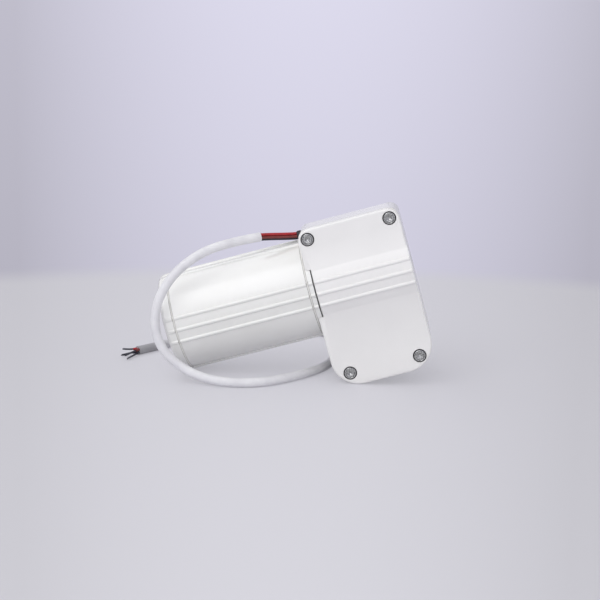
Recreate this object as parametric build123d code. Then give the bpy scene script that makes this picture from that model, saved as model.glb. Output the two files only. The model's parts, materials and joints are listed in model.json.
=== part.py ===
from build123d import *
import math
import os

# A sealed worm gear motor: a ribbed barrel motor, a gearbox with a screwed front cover and an
# output shaft that leaves the back. All sizes are in millimetres.
# The pieces are modelled with X along the motor axis towards the gearbox, Y towards the end of
# the output shaft and Z up. The origin is where the motor axis crosses the gearbox's left face.
# The last section tips the finished drive onto the surface that it rests on.

# Clearances
seat_clearance = 0.03  # radial, between pieces that are pressed or glued together
running_clearance = 0.05  # radial, between a shaft and what it turns in
thread_clearance = 0.05  # radial, between a screw and its tapped hole
screw_clearance = 0.25  # radial, round a screw that passes through
locating_clearance = 0.15  # round a piece that drops into a pocket
end_clearance = 0.1  # along an axis, between neighbours that don't touch hard
end_float = 0.2  # along an axis, between turning faces and still ones

# Motor barrel and its ribs
barrel_radius = 34.5
barrel_wall = 2.8
barrel_length = 96.7
rib_height = 0.9
rib_width = 2.4
rib_angle = 14.2  # between two ribs of a group
rib_groups = 4
gasket_thickness = 0.9
gasket_inset = 0.25
rear_cap_length = 6.9
rear_cap_wall = 4.0
rear_cap_round = 3.5
spigot_length = 4.0
spigot_wall = 2.2

# Gearbox
box_width = 72.5
top_margin = 10.1  # from the tops of the ribs to the top of the box
bottom_margin = 10.25  # from the tips of the wheel to the bottom of the box
top_corner = 7.2
bottom_corner = 20.0
back_set_in = 4.5  # from the back of the barrel to the back of the box
back_round = 5.0
top_back_round = 34.0
box_wall = 4.0
collar_out = 0.6  # how far the collar stands out of the left face
collar_in = 3.0  # how far its ring runs on past that face
web_thickness = 5.0

# Front cover
cover_set_back = 4.2  # from the front of the barrel to the flat of the cover
cover_thickness = 5.0
cover_edge_round = 1.5
cover_gasket_thickness = 1.0
cover_gasket_inset = 0.5
cover_gap = 0.8  # between the collar's ring and the cover's bulge
bulge_wall = 3.5
bulge_end_round = 1.5
notch_clearance = 0.4
screw_margins = [(7.0, 7.1), (7.0, 6.9), (10.7, 9.9), (11.5, 9.9)]  # in from the corners
screw_radius = 2.5
screw_length = 16.0
screw_head_radius = 4.5
screw_head_height = 2.4
screw_head_round = 0.9
screw_boss_radius = 6.0
screw_boss_length = 14.0
head_pocket_radius = 4.95
head_pocket_depth = 2.7
seal_thickness = 0.8
star_radius = 1.5
star_lobe = 0.5
star_depth = 1.5

# Worm and wheel
gear_module = 1.25
wheel_teeth = 42
worm_pitch_radius = 7.0
pressure_angle = 20.0
worm_turns = 8
wheel_width = 9.0
tooth_play = 0.1  # taken off the thickness of each tooth and thread
rim_bore_radius = 17.0
hub_radius = 11.0
hub_length = 9.5  # behind the wheel's middle
flange_radius = 21.5
flange_thickness = 1.5
rim_screw_circle = 19.0
rim_screw_radius = 1.5
rim_screw_count = 4
rim_screw_grip = 6.0
contact_disc_thickness = 0.5
contact_disc_inner = 9.5
contact_disc_outer = 16.0

# Output shaft and its bearings
output_radius = 6.0
output_front = 11.0  # in front of the wheel's middle
output_plain = 20.0
output_thread_radius = 4.0
output_thread_length = 12.0
bush_outer_radius = 9.0
bush_length = 11.5
seal_width = 3.8
seal_recess = 0.4
seal_gap = 0.3
output_boss_radius = 13.5
pad_radius = 32.0
pad_thickness = 8.0
pilot_radius = 14.0
pilot_height = 4.0
pad_screw_circle = 25.0
pad_screw_radius = 2.5
pad_screw_depth = 10.0
pad_screw_count = 4
ring_thickness = 1.1
ring_radius = 8.2
ring_groove_radius = 5.4
washer_thickness = 1.5
outer_washer_thickness = 1.0
key_width = 4.0
key_length = 11.0
key_height = 4.0
key_bottom = 3.9  # from the shaft's axis

# Armature
shaft_radius = 4.0
shaft_core_radius = 5.0
air_gap = 0.64
core_set_in = 2.0  # from the ends of the magnets to the ends of the core
slot_count = 12
slot_mouth = 2.4
slot_lip = 1.6
slot_width = 6.6
slot_root_radius = 11.5
slot_root_width = 2.6
winding_inset = 0.3
winding_overhang = 10.0
commutator_set_back = 8.4
commutator_length = 13.0
commutator_radius = 9.5
commutator_sleeve_radius = 6.5
commutator_gap = 0.6
riser_length = 2.0
riser_height = 1.5

# Ball bearings, the same size at both ends
bearing_bore = 4.0
bearing_radius = 11.0
bearing_width = 7.0
bearing_inner_land = 5.8
bearing_outer_land = 9.2
ball_circle = 7.5
ball_radius = 1.98
ball_count = 7

# Field magnets
flux_ring_wall = 2.8
flux_ring_rear_gap = 4.1
flux_ring_front_gap = 21.5
magnet_thickness = 5.2
magnet_set_in = 11.0  # from the ends of the flux ring to the ends of the magnets
magnet_arc = 125.0
tie_bolt_radius = 2.0
tie_bolt_gap = 0.64  # from a bolt to the inside of the flux ring
tie_bolt_angle = 20.0
tie_bolt_head_radius = 3.5
tie_bolt_head_height = 2.2

# Brush gear
brush_plate_thickness = 2.7
brush_plate_hole = 12.0
brush_size = (5.0, 9.5, 6.5)
holder_wall = 1.1
holder_gap = 4.2  # from a holder to the bore of the barrel
spring_wire = 0.35
spring_radius = 1.9
spring_turns = 7

# Worm end
end_boss_radius = 9.0
end_bush_radius = 6.0
end_bush_length = 8.0
thrust_screw_radius = 5.0
thrust_ball_radius = 2.5
end_boss_length = 14.5

# Terminal board
board_thickness = 1.6
board_drop = 15.5  # from the top of the box to the underside of the board
board_start = 14.0
board_margins = (14.5, 4.3, 19.0)  # from the right, the front and the back of the box
post_radius = 3.0
post_margins = (3.5, 5.0)  # in from the corners of the board
board_screw_radius = 1.25
block_size = (15.0, 13.0, 8.4)
block_set_in = 8.0
choke_radius = 3.4
choke_length = 20.0
capacitor_size = (8.0, 5.0, 9.0)

# Contact plate behind the cover
contact_plate_size = (42.0, 2.0, 24.0)
contact_post_length = 6.3
contact_post_radius = 3.5
contact_post_spacing = 34.0
contact_rivet_radius = 1.5
finger_radii = [10.9, 12.9, 14.9]
finger_width = 1.6
finger_thickness = 0.4
finger_gap = 0.2

# Cable entry and leads
entry_y = -4.0
entry_height = 3.6  # above the tops of the ribs
grommet_hole = 3.3
grommet_lip_radius = 3.9
grommet_lip = 2.8
grommet_seat = 1.5  # depth of the lip's seat in the left face
lead_radius = 1.0
lead_spacing = 2.3
motor_lead_radius = 0.9
motor_lead_y = 8.0
motor_lead_drop = 9.7  # from the bore of the barrel
jacket_radius = 3.25
lead_run = 7.0  # straight stretch of a free lead at each end
tail_run = 4.5  # and of a stripped core where it leaves the jacket

# Sizes that follow from the ones above
rib_radius = barrel_radius + rib_height
barrel_bore = barrel_radius - barrel_wall
collar_face = -collar_out
barrel_front = collar_face - gasket_thickness
barrel_back = barrel_front - barrel_length
cap_front = barrel_back - gasket_thickness
cap_back = cap_front - rear_cap_length
cap_floor = cap_back + rear_cap_wall
worm_lead = math.pi * gear_module
worm_radius = worm_pitch_radius + gear_module
worm_root = worm_pitch_radius - 1.2 * gear_module
wheel_pitch_radius = gear_module * wheel_teeth / 2
output_x = box_width / 2
output_z = -(worm_pitch_radius + wheel_pitch_radius)
worm_start = output_x - worm_lead * worm_turns / 2
box_top = rib_radius + top_margin
box_bottom = wheel_pitch_radius + gear_module + bottom_margin - output_z
box_back = barrel_radius - back_set_in
cover_y = cover_set_back - barrel_radius
cover_back = cover_y + cover_thickness
rim_y = cover_back + cover_gasket_thickness
bulge_start = collar_in + cover_gap
screw_places = [
    (screw_margins[0][0], box_top - screw_margins[0][1]),
    (box_width - screw_margins[1][0], box_top - screw_margins[1][1]),
    (box_width - screw_margins[2][0], screw_margins[2][1] - box_bottom),
    (screw_margins[3][0], screw_margins[3][1] - box_bottom),
]
pad_back = box_back + pad_thickness
pilot_end = pad_back + pilot_height
rear_bearing_start = cap_floor + 0.5
front_bearing_start = collar_face
flux_ring_start = cap_front + spigot_length + flux_ring_rear_gap
flux_ring_end = barrel_front - flux_ring_front_gap
magnet_start = flux_ring_start + magnet_set_in
magnet_end = flux_ring_end - magnet_set_in
core_back = magnet_start + core_set_in
core_front = magnet_end - core_set_in
core_length = core_front - core_back
core_middle = (core_front + core_back) / 2
flux_ring_radius = barrel_bore - seat_clearance
magnet_radius = flux_ring_radius - flux_ring_wall - seat_clearance
core_radius = magnet_radius - magnet_thickness - air_gap
commutator_front = collar_face - commutator_set_back
holder_reach = barrel_bore - holder_gap
boss_front = hub_length + washer_thickness + end_float
hub_front = -wheel_width / 2 - flange_thickness
front_ring_span = (hub_front - end_clearance - ring_thickness, hub_front - end_clearance)
outer_washer_start = pilot_end + end_float
outer_washer_end = outer_washer_start + outer_washer_thickness
ring_back = outer_washer_end + end_clearance + ring_thickness
back_ring_span = (ring_back - ring_thickness, ring_back)
seal_start = pilot_end - seal_recess - seal_width
end_boss_start = box_width - end_boss_length
end_bush_end = end_boss_start + end_bush_length
shaft_end = end_bush_end - 1.2
entry_face = grommet_seat - grommet_lip
entry_z = rib_radius + entry_height
motor_lead_z = barrel_bore - motor_lead_drop
board_bottom = box_top - board_drop
board_end = box_width - board_margins[0]
board_front = rim_y + board_margins[1]
board_back = box_back - board_margins[2]
post_y = board_front + post_margins[1]
post_places = [(board_start + post_margins[0], post_y), (board_end - post_margins[0], post_y)]
block_start = board_start + block_set_in
contact_plate_front = -(cover_back + contact_post_length)
tie_bolt_seat = cap_back + tie_bolt_head_height + 0.2
tie_bolt_end = collar_in - 0.3
tie_bolt_circle = magnet_radius - tie_bolt_radius - tie_bolt_gap
tie_bolt_y = tie_bolt_circle * math.cos(math.radians(tie_bolt_angle))
tie_bolt_z = tie_bolt_circle * math.sin(math.radians(tie_bolt_angle))
tie_bolt_places = [(tie_bolt_y, tie_bolt_z), (-tie_bolt_y, -tie_bolt_z)]
rim_screw_places = [
    (
        output_x + rim_screw_circle * math.cos(2 * math.pi * (number + 0.5) / rim_screw_count),
        output_z + rim_screw_circle * math.sin(2 * math.pi * (number + 0.5) / rim_screw_count),
    )
    for number in range(rim_screw_count)
]


on_base = (Align.CENTER, Align.CENTER, Align.MIN)


def rod_x(radius, start, end, y=0.0, z=0.0):
    return Pos(start, y, z) * Rot(0, 90, 0) * Cylinder(radius, end - start, align=on_base)


def rod_y(radius, start, end, x=output_x, z=output_z):
    return Pos(x, start, z) * Rot(-90, 0, 0) * Cylinder(radius, end - start, align=on_base)


def rod_z(radius, start, end, x, y):
    return Pos(x, y, start) * Cylinder(radius, end - start, align=on_base)


def block(x, y, z):
    size = [abs(side[1] - side[0]) for side in (x, y, z)]
    middle = [(side[0] + side[1]) / 2 for side in (x, y, z)]
    return Pos(*middle) * Box(*size)


def tube_x(outer, inner, start, end, y=0.0, z=0.0):
    return rod_x(outer, start, end, y, z) - rod_x(inner, start - 1, end + 1, y, z)


def tube_y(outer, inner, start, end):
    return rod_y(outer, start, end) - rod_y(inner, start - 1, end + 1)



# The ribbed bar that the barrel, cap, collar and bulge share
def rib_angles(groups):
    steps = [-rib_angle, 0.0, rib_angle]
    return [group * 360 / rib_groups + step for group in range(groups) for step in steps]


def ribbed_bar(start, end, groups=rib_groups):
    bead = barrel_radius + rib_height - rib_width / 2
    bar = rod_x(barrel_radius, start, end)
    for angle in rib_angles(groups):
        y = -bead * math.cos(math.radians(angle))
        z = bead * math.sin(math.radians(angle))
        bar += rod_x(rib_width / 2, start, end, y, z)
    return bar


def rounded_bar(start, end, round_radius, round_at_start):
    # A bar round the motor axis, as wide as the rib tops, with one rounded rim.
    side = Rectangle(end - start, rib_radius, align=(Align.MIN, Align.MIN))
    ends = side.vertices().sort_by(Axis.X)
    rim = ends[:2] if round_at_start else ends[-2:]
    side = fillet(rim.sort_by(Axis.Y)[-1], round_radius)
    return revolve(Pos(start, 0) * side, Axis.X)


def turned(start, end, inner, outer):
    # A ring's section, for revolving about the motor axis.
    middle = Pos((start + end) / 2, (inner + outer) / 2)
    return middle * Rectangle(end - start, outer - inner)


# The gearbox outline, seen from the front, and the block it bounds
def outline(inset):
    width = box_width - 2 * inset
    height = box_top + box_bottom - 2 * inset
    face = Rectangle(width, height)
    corners = face.vertices().sort_by(Axis.Y)
    face = fillet(corners[:2], bottom_corner - inset)
    corners = face.vertices().sort_by(Axis.Y)
    face = fillet(corners[-2:], top_corner - inset)
    return Pos(box_width / 2, (box_top - box_bottom) / 2) * face


def slab(front, back, inset=0.0):
    return extrude(Plane.XZ.offset(-back) * outline(inset), back - front)


def gearbox_block(front, inset):
    # Rounded at the back, with one large round along the top edge.
    back = box_back - inset
    body = slab(front, back, inset)
    depth = back - front
    side = Rectangle(depth, box_top + box_bottom - 2 * inset)
    lower, upper = side.vertices().sort_by(Axis.X)[-2:].sort_by(Axis.Y)
    side = fillet(lower, back_round)
    upper = side.vertices().sort_by(Axis.Y)[-2:].sort_by(Axis.X)[-1]
    side = fillet(upper, top_back_round - inset)
    side = Pos((front + back) / 2, (box_top - box_bottom) / 2) * side
    profile = extrude(Plane.YZ * side, box_width)
    return body & profile


# Gearbox shell, cover and what seals them
def screw_bosses():
    bosses = []
    for x, z in screw_places:
        bosses.append(rod_y(screw_boss_radius, rim_y, rim_y + screw_boss_length, x, z))
    return bosses


def make_housing():
    far = 2 * box_bottom
    shell = gearbox_block(rim_y, 0.0) - gearbox_block(rim_y - 1, box_wall)
    web = gearbox_block(rim_y, 0.0) & block((0, web_thickness), (-far, far), (-far, far))
    collar = ribbed_bar(collar_face, collar_in)
    seat = rod_x(bearing_radius + 4, collar_in, front_bearing_start + bearing_width + 2)
    end_boss = rod_x(end_boss_radius, end_boss_start, box_width - box_wall / 2)
    pad = rod_y(pad_radius, box_back - box_wall, pad_back)
    pilot = rod_y(pilot_radius, pad_back, pilot_end)
    boss = rod_y(output_boss_radius, boss_front, box_back)
    shell += [web, collar, seat, end_boss, pad, pilot, boss]
    inside = gearbox_block(rim_y, 0.0)
    shell += [piece & inside for piece in screw_bosses()]
    top_inside = box_top - box_wall + 0.5
    for x, y in post_places:
        shell += rod_z(post_radius, board_bottom + board_thickness, top_inside, x, y)
    cuts = [
        rod_x(bearing_radius + seat_clearance, collar_face - 1, front_bearing_start + bearing_width),
        rod_x(worm_radius + 0.8, collar_face, front_bearing_start + bearing_width + 3),
        rod_x(end_bush_radius + seat_clearance, end_boss_start - 1, end_bush_end),
        rod_x(thrust_screw_radius + thread_clearance, end_bush_end - 1, box_width + 1),
        rod_y(bush_outer_radius + seat_clearance, boss_front - 1, pilot_end + 1),
        rod_x(grommet_hole, -1, web_thickness + 1, entry_y, entry_z),
        rod_x(grommet_lip_radius + locating_clearance, -top_corner, grommet_seat, entry_y, entry_z),
    ]
    for x, z in screw_places:
        depth = screw_boss_length - 2
        cuts.append(rod_y(screw_radius + thread_clearance, rim_y - 1, rim_y + depth, x, z))
    for number in range(pad_screw_count):
        angle = math.radians(45 + 360 * number / pad_screw_count)
        x = output_x + pad_screw_circle * math.cos(angle)
        z = output_z + pad_screw_circle * math.sin(angle)
        cuts.append(rod_y(pad_screw_radius, pad_back - pad_screw_depth, pad_back + 1, x, z))
    for y, z in tie_bolt_places:
        cuts.append(rod_x(tie_bolt_radius + thread_clearance, collar_face - 1, tie_bolt_end + 1, y, z))
    for y in (-motor_lead_y, motor_lead_y):
        hole_radius = motor_lead_radius + screw_clearance
        cuts.append(rod_x(hole_radius, collar_face - 1, web_thickness + 1, y, motor_lead_z))
    for x, y in post_places:
        cuts.append(rod_z(board_screw_radius + thread_clearance, board_bottom, top_inside - 2, x, y))
    return shell - cuts


def make_cover():
    plate = slab(cover_y, cover_back)
    rim = plate.faces().sort_by(Axis.Y)[0].edges()
    plate = fillet(rim, cover_edge_round)
    bulge = ribbed_bar(bulge_start, box_width, 1)
    bulge &= rounded_bar(bulge_start, box_width, bulge_end_round, False)
    bulge &= block((0, box_width), (-rib_radius - 1, cover_back), (-rib_radius, rib_radius))
    hollow = rod_x(barrel_radius - bulge_wall, bulge_start + bulge_wall, box_width - bulge_wall)
    cover = plate + bulge - hollow
    cover -= rod_x(barrel_radius + notch_clearance, -1, bulge_start)
    for side in (-1, 1):
        x = output_x + side * contact_post_spacing / 2
        cover += rod_y(contact_post_radius, cover_back - 1, -contact_plate_front, x, output_z)
        cover -= rod_y(contact_rivet_radius + thread_clearance, cover_back - 1, 0, x, output_z)
    for x, z in screw_places:
        cover -= rod_y(screw_radius + screw_clearance, cover_y - 1, cover_back + 1, x, z)
        cover -= rod_y(head_pocket_radius, cover_y - 1, cover_y + head_pocket_depth, x, z)
    return cover


def make_cover_gasket():
    rim = slab(cover_back, rim_y, cover_gasket_inset) - slab(cover_back - 1, rim_y + 1, box_wall)
    rim -= rod_x(barrel_radius + notch_clearance, -1, bulge_start)
    for x, z in screw_places:
        rim += rod_y(screw_boss_radius - cover_gasket_inset, cover_back, rim_y, x, z)
        rim -= rod_y(screw_radius + screw_clearance, cover_back - 1, rim_y + 1, x, z)
    return rim & slab(cover_back, rim_y, cover_gasket_inset)


def star(radius, lobe):
    face = Circle(radius)
    for number in range(6):
        angle = math.radians(60 * number)
        face += Pos((radius + 0.1) * math.cos(angle), (radius + 0.1) * math.sin(angle)) * Circle(lobe)
    return face


def make_cover_screws():
    seat = cover_y + head_pocket_depth - seal_thickness
    screws = []
    for x, z in screw_places:
        head = rod_y(screw_head_radius, seat - screw_head_height, seat, x, z)
        head = fillet(head.edges().sort_by(Axis.Y)[0], screw_head_round)
        screw = head + rod_y(screw_radius, seat - 0.5, seat + screw_length, x, z)
        top = seat - screw_head_height
        socket = Plane.XZ.offset(-(top + star_depth)) * Pos(x, z) * star(star_radius, star_lobe)
        screws.append(screw - extrude(socket, star_depth + 1))
    return screws


def make_screw_seals():
    start = cover_y + head_pocket_depth - seal_thickness
    seals = []
    for x, z in screw_places:
        ring = rod_y(head_pocket_radius - locating_clearance, start, cover_y + head_pocket_depth, x, z)
        hole = rod_y(screw_radius + screw_clearance, start - 1, cover_y + head_pocket_depth + 1, x, z)
        seals.append(ring - hole)
    return seals


# Barrel, end cap and gaskets
def make_barrel():
    return ribbed_bar(barrel_back, barrel_front) - rod_x(barrel_bore, barrel_back - 1, barrel_front + 1)


def make_rear_cap():
    cap = ribbed_bar(cap_back, cap_front) & rounded_bar(cap_back, cap_front, rear_cap_round, True)
    spigot_radius = barrel_bore - running_clearance
    cap += rod_x(spigot_radius, cap_floor, cap_front + spigot_length)
    cap -= rod_x(spigot_radius - spigot_wall, cap_floor, cap_front + spigot_length + 1)
    cap += rod_x(bearing_radius + 3, cap_floor - 1, rear_bearing_start + bearing_width)
    cap -= rod_x(bearing_radius + seat_clearance, rear_bearing_start, cap_front + bearing_width + 1)
    for y, z in tie_bolt_places:
        cap -= rod_x(tie_bolt_radius + screw_clearance, cap_back - 1, cap_floor + 1, y, z)
        cap -= rod_x(tie_bolt_head_radius + screw_clearance, cap_back - 1, tie_bolt_seat, y, z)
    return cap


def gasket_ring(start, end):
    return tube_x(barrel_radius - gasket_inset, barrel_bore + running_clearance, start, end)


def make_tie_bolts():
    bolts = []
    for y, z in tie_bolt_places:
        head = rod_x(tie_bolt_head_radius, tie_bolt_seat - tie_bolt_head_height, tie_bolt_seat, y, z)
        head = fillet(head.edges().sort_by(Axis.X)[0], 0.8)
        bolt = head + rod_x(tie_bolt_radius, tie_bolt_seat - 0.5, tie_bolt_end, y, z)
        slot_start = tie_bolt_seat - tie_bolt_head_height
        slot = block((slot_start - 1, slot_start + 1), (y - 3.8, y + 3.8), (z - 0.5, z + 0.5))
        bolts.append(bolt - slot)
    return bolts


# Field
def make_flux_ring():
    return tube_x(flux_ring_radius, flux_ring_radius - flux_ring_wall, flux_ring_start, flux_ring_end)


def make_magnets():
    magnets = []
    for side in (1, -1):
        ring = turned(magnet_start, magnet_end, magnet_radius - magnet_thickness, magnet_radius)
        arc = revolve(ring, Axis.X, magnet_arc)
        magnets.append(Rot(90 * side - magnet_arc / 2, 0, 0) * arc)
    return magnets


# Bearings
def make_race(start, inner, outer):
    section = turned(start, start + bearing_width, inner, outer)
    section -= Pos(start + bearing_width / 2, ball_circle) * Circle(ball_radius + running_clearance)
    return revolve(section, Axis.X)


def make_balls(start):
    ball = Pos(start + bearing_width / 2, ball_circle, 0) * Sphere(ball_radius)
    return [Rot(360 * number / ball_count, 0, 0) * ball for number in range(ball_count)]


# Brush gear
def make_brush_plate():
    end = collar_face - end_clearance
    plate = rod_x(barrel_bore - running_clearance, end - brush_plate_thickness, end)
    plate -= rod_x(brush_plate_hole, end - brush_plate_thickness - 1, end + 1)
    for y, z in tie_bolt_places:
        plate -= rod_x(tie_bolt_radius + screw_clearance, end - brush_plate_thickness - 1, end + 1, y, z)
    for y in (-motor_lead_y, motor_lead_y):
        hole_radius = motor_lead_radius + running_clearance
        plate -= rod_x(hole_radius, end - brush_plate_thickness - 1, end + 1, y, motor_lead_z)
    return plate


def brush_parts():
    # One brush on +Y with its holder and spring, pressing on the commutator.
    wide, long, tall = brush_size
    middle = commutator_front - (commutator_length - riser_length) / 2
    plate = collar_face - end_clearance - brush_plate_thickness
    near = commutator_radius + running_clearance
    brush = block((middle - wide / 2, middle + wide / 2), (near - 1, near + long), (-tall / 2, tall / 2))
    brush -= rod_x(near, middle - wide, middle + wide)
    outer_x, outer_z = wide / 2 + holder_wall, tall / 2 + holder_wall
    start = near + 2
    holder = block((middle - outer_x, middle + outer_x), (start, holder_reach), (-outer_z, outer_z))
    holder += block((middle, plate), (start + 1, holder_reach - 3), (-outer_z, outer_z))
    gap = locating_clearance
    stop = holder_reach - holder_wall
    slot_x = (middle - wide / 2 - gap, middle + wide / 2 + gap)
    holder -= block(slot_x, (0, stop), (-tall / 2 - gap, tall / 2 + gap))
    reach = stop - near - long - 2 * spring_wire - 2 * end_clearance
    coil = Helix(pitch=reach / spring_turns, height=reach, radius=spring_radius)
    wire = Plane(origin=coil @ 0, z_dir=coil % 0) * Circle(spring_wire)
    spring = sweep(wire, path=coil, is_frenet=True)
    spring = Pos(middle, near + long + spring_wire + end_clearance, 0) * Rot(-90, 0, 0) * spring
    return brush, holder, spring


def pair(piece):
    return [piece, Rot(180, 0, 0) * piece]


# Armature
def make_armature_shaft():
    shaft = rod_x(shaft_radius, rear_bearing_start + end_clearance, shaft_end)
    land_start = rear_bearing_start + bearing_width + end_clearance
    shaft += rod_x(shaft_core_radius, land_start, front_bearing_start - end_clearance)
    shaft -= rod_x(thrust_ball_radius + running_clearance, shaft_end - thrust_ball_radius, shaft_end + 1)
    return chamfer(shaft.edges().sort_by(Axis.X)[0], 0.6)


def slot_face(inset):
    outer = core_radius - slot_lip
    wide, narrow = slot_width / 2 - inset, slot_root_width / 2 - inset
    points = [
        (outer - inset, -wide),
        (outer - inset, wide),
        (slot_root_radius + inset, narrow),
        (slot_root_radius + inset, -narrow),
    ]
    return make_face(Polyline(*points, close=True))


def make_core():
    face = Circle(core_radius) - Circle(shaft_core_radius + seat_clearance)
    mouth = Pos(core_radius - 1, 0) * Rectangle(2 * slot_lip + 2, slot_mouth)
    for number in range(slot_count):
        face -= Rot(0, 0, 360 * number / slot_count) * (slot_face(0.0) + mouth)
    return extrude(Plane.YZ.offset(core_back) * face, core_length)


def make_windings():
    start, end = core_back - winding_overhang, core_front + winding_overhang
    outer = core_radius - slot_lip - winding_inset
    coils = tube_x(outer, shaft_core_radius + 3, start, core_back - end_clearance)
    coils = fillet(coils.edges().filter_by(GeomType.CIRCLE).sort_by(Axis.X)[:2], 2.5)
    front = Pos(2 * core_middle, 0, 0) * Rot(0, 0, 180) * coils
    coils += front
    for number in range(slot_count):
        bar = Rot(0, 0, 360 * number / slot_count) * slot_face(winding_inset)
        coils += extrude(Plane.YZ.offset(core_back - 1) * bar, core_length + 2)
    return coils


def make_commutator():
    start = commutator_front - commutator_length
    bars = tube_x(commutator_radius, commutator_sleeve_radius, start, commutator_front)
    bars += tube_x(commutator_radius + riser_height, commutator_sleeve_radius, start, start + riser_length)
    for number in range(slot_count // 2):
        cut = block((start - 1, commutator_front + 1), (-20, 20), (-commutator_gap / 2, commutator_gap / 2))
        bars -= Rot(360 * (number + 0.5) / slot_count, 0, 0) * cut
    return bars.solids()


def make_worm():
    half = worm_lead / 4 - tooth_play / 2
    slope = math.tan(math.radians(pressure_angle))
    tip = half - gear_module * slope
    root = half + (worm_pitch_radius - worm_root) * slope

    def at(radius, offset):
        angle = 2 * math.pi * offset / worm_lead
        return radius * math.cos(angle), radius * math.sin(angle)

    steps = [step / 5 for step in range(6)]
    flank = [(worm_root + (worm_radius - worm_root) * s, root + (tip - root) * s) for s in steps]
    left = [at(radius, offset) for radius, offset in flank]
    right = [at(radius, -offset) for radius, offset in flank]
    section = make_face([
        Spline(*left),
        ThreePointArc(left[-1], (worm_radius, 0), right[-1]),
        Spline(*right[::-1]),
        ThreePointArc(right[0], (-worm_root, 0), left[0]),
    ])
    length = worm_lead * worm_turns
    thread = Solid.extrude_linear_with_rotation(section.face(), (0, 0, 0), (0, 0, length), 360 * worm_turns)
    thread -= Cylinder(shaft_radius + seat_clearance, 3 * length)
    return Pos(worm_start, 0, 0) * Rot(0, 90, 0) * thread


# Output side
def make_wheel_rim():
    tip_radius = wheel_pitch_radius + gear_module
    root_radius = wheel_pitch_radius - 1.25 * gear_module
    slope = math.radians(pressure_angle)
    base_radius = wheel_pitch_radius * math.cos(slope)
    step = 2 * math.pi / wheel_teeth

    def involute(angle):
        return math.tan(angle) - angle

    def half_angle(radius):
        at_pitch = (math.pi * gear_module / 2 - tooth_play) / 2 / wheel_pitch_radius
        turn = math.acos(min(1.0, base_radius / radius))
        return at_pitch + involute(slope) - involute(turn)

    def at(radius, angle):
        return radius * math.cos(angle), radius * math.sin(angle)

    radii = [root_radius + (tip_radius - root_radius) * step_part / 4 for step_part in range(5)]
    edges = []
    for tooth in range(wheel_teeth):
        middle = (tooth + 0.5) * step
        rising = [at(radius, middle - half_angle(radius)) for radius in radii]
        falling = [at(radius, middle + half_angle(radius)) for radius in radii[::-1]]
        following = at(root_radius, middle + step - half_angle(root_radius))
        edges += [
            Spline(*rising),
            ThreePointArc(rising[-1], at(tip_radius, middle), falling[0]),
            Spline(*falling),
            ThreePointArc(falling[-1], at(root_radius, middle + step / 2), following),
        ]
    twist = wheel_width * math.tan(math.atan(worm_lead / (2 * math.pi * worm_pitch_radius)))
    twist = math.degrees(twist / wheel_pitch_radius)
    rim = Solid.extrude_linear_with_rotation(make_face(edges).face(), (0, 0, 0), (0, 0, wheel_width), twist)
    # A gap between two teeth faces straight up, at the wheel's middle.
    rim = Pos(output_x, -wheel_width / 2, output_z) * Rot(-90, 0, 0) * Rot(0, 0, -90 - twist / 2) * rim
    rim -= rod_y(rim_bore_radius, -wheel_width, wheel_width)
    for x, z in rim_screw_places:
        rim -= rod_y(rim_screw_radius + thread_clearance, -wheel_width, wheel_width / 2 - 1.5, x, z)
    return rim


def make_hub():
    front = -wheel_width / 2
    hub = rod_y(flange_radius, front - flange_thickness, front - 0.0)
    hub += rod_y(rim_bore_radius - seat_clearance, front - 0.5, wheel_width / 2)
    hub += rod_y(hub_radius, wheel_width / 2 - 1, hub_length)
    hub -= rod_y(output_radius + seat_clearance, front - flange_thickness - 1, hub_length + 1)
    for x, z in rim_screw_places:
        hub -= rod_y(rim_screw_radius + screw_clearance, front - flange_thickness - 1, front + 0.5, x, z)
    return hub - key_block(seat_clearance)


def make_rim_screws():
    seat = -wheel_width / 2 - flange_thickness
    screws = []
    for x, z in rim_screw_places:
        head = rod_y(1.8 * rim_screw_radius, seat - rim_screw_radius, seat, x, z)
        head = fillet(head.edges().sort_by(Axis.Y)[0], 0.5)
        screws.append(head + rod_y(rim_screw_radius, seat - 0.5, seat + rim_screw_grip, x, z))
    return screws


def make_contact_disc():
    back = -wheel_width / 2 - flange_thickness
    disc = tube_y(contact_disc_outer, contact_disc_inner, back - contact_disc_thickness, back)
    # The gap in the outer track marks the parked position.
    park_x = (output_x - 2 * contact_disc_outer, output_x)
    park = block(park_x, (back - 2, back + 1), (output_z - 3, output_z + 3))
    return disc - (park - rod_y(finger_radii[1] + 1, back - 3, back + 2))


def key_block(clearance):
    start = -key_length / 2 + 1
    wide = key_width / 2 + clearance
    low, high = output_z + key_bottom - clearance, output_z + key_bottom + key_height + clearance
    key_y = (start - clearance, start + key_length + clearance)
    return block((output_x - wide, output_x + wide), key_y, (low, high))


def make_output_shaft():
    plain_end = ring_back + end_clearance + output_plain
    shaft = rod_y(output_radius, -output_front, plain_end)
    shaft = chamfer(shaft.edges().sort_by(Axis.Y)[0], 0.8)
    shaft = chamfer(shaft.edges().sort_by(Axis.Y)[-1], 0.5)
    tail = rod_y(output_thread_radius, plain_end - 1, plain_end + output_thread_length)
    shaft += chamfer(tail.edges().sort_by(Axis.Y)[-1], 0.8)
    for start, end in (front_ring_span, back_ring_span):
        shaft -= tube_y(output_radius + 1, ring_groove_radius, start - 0.05, end + 0.05)
    return shaft - key_block(seat_clearance)


def make_ring(start, end):
    ring = tube_y(ring_radius, ring_groove_radius + 0.05, start, end)
    return ring - block((output_x - 1.5, output_x + 1.5), (start - 1, end + 1), (output_z, output_z + 20))


# Worm end: bush, ball and the screw that sets the end float
def make_thrust_screw():
    start = shaft_end + thrust_ball_radius + end_clearance
    screw = rod_x(thrust_screw_radius, start, box_width - 0.6)
    slot = block((box_width - 2.2, box_width), (-6, 6), (-0.6, 0.6))
    return screw - slot


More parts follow.
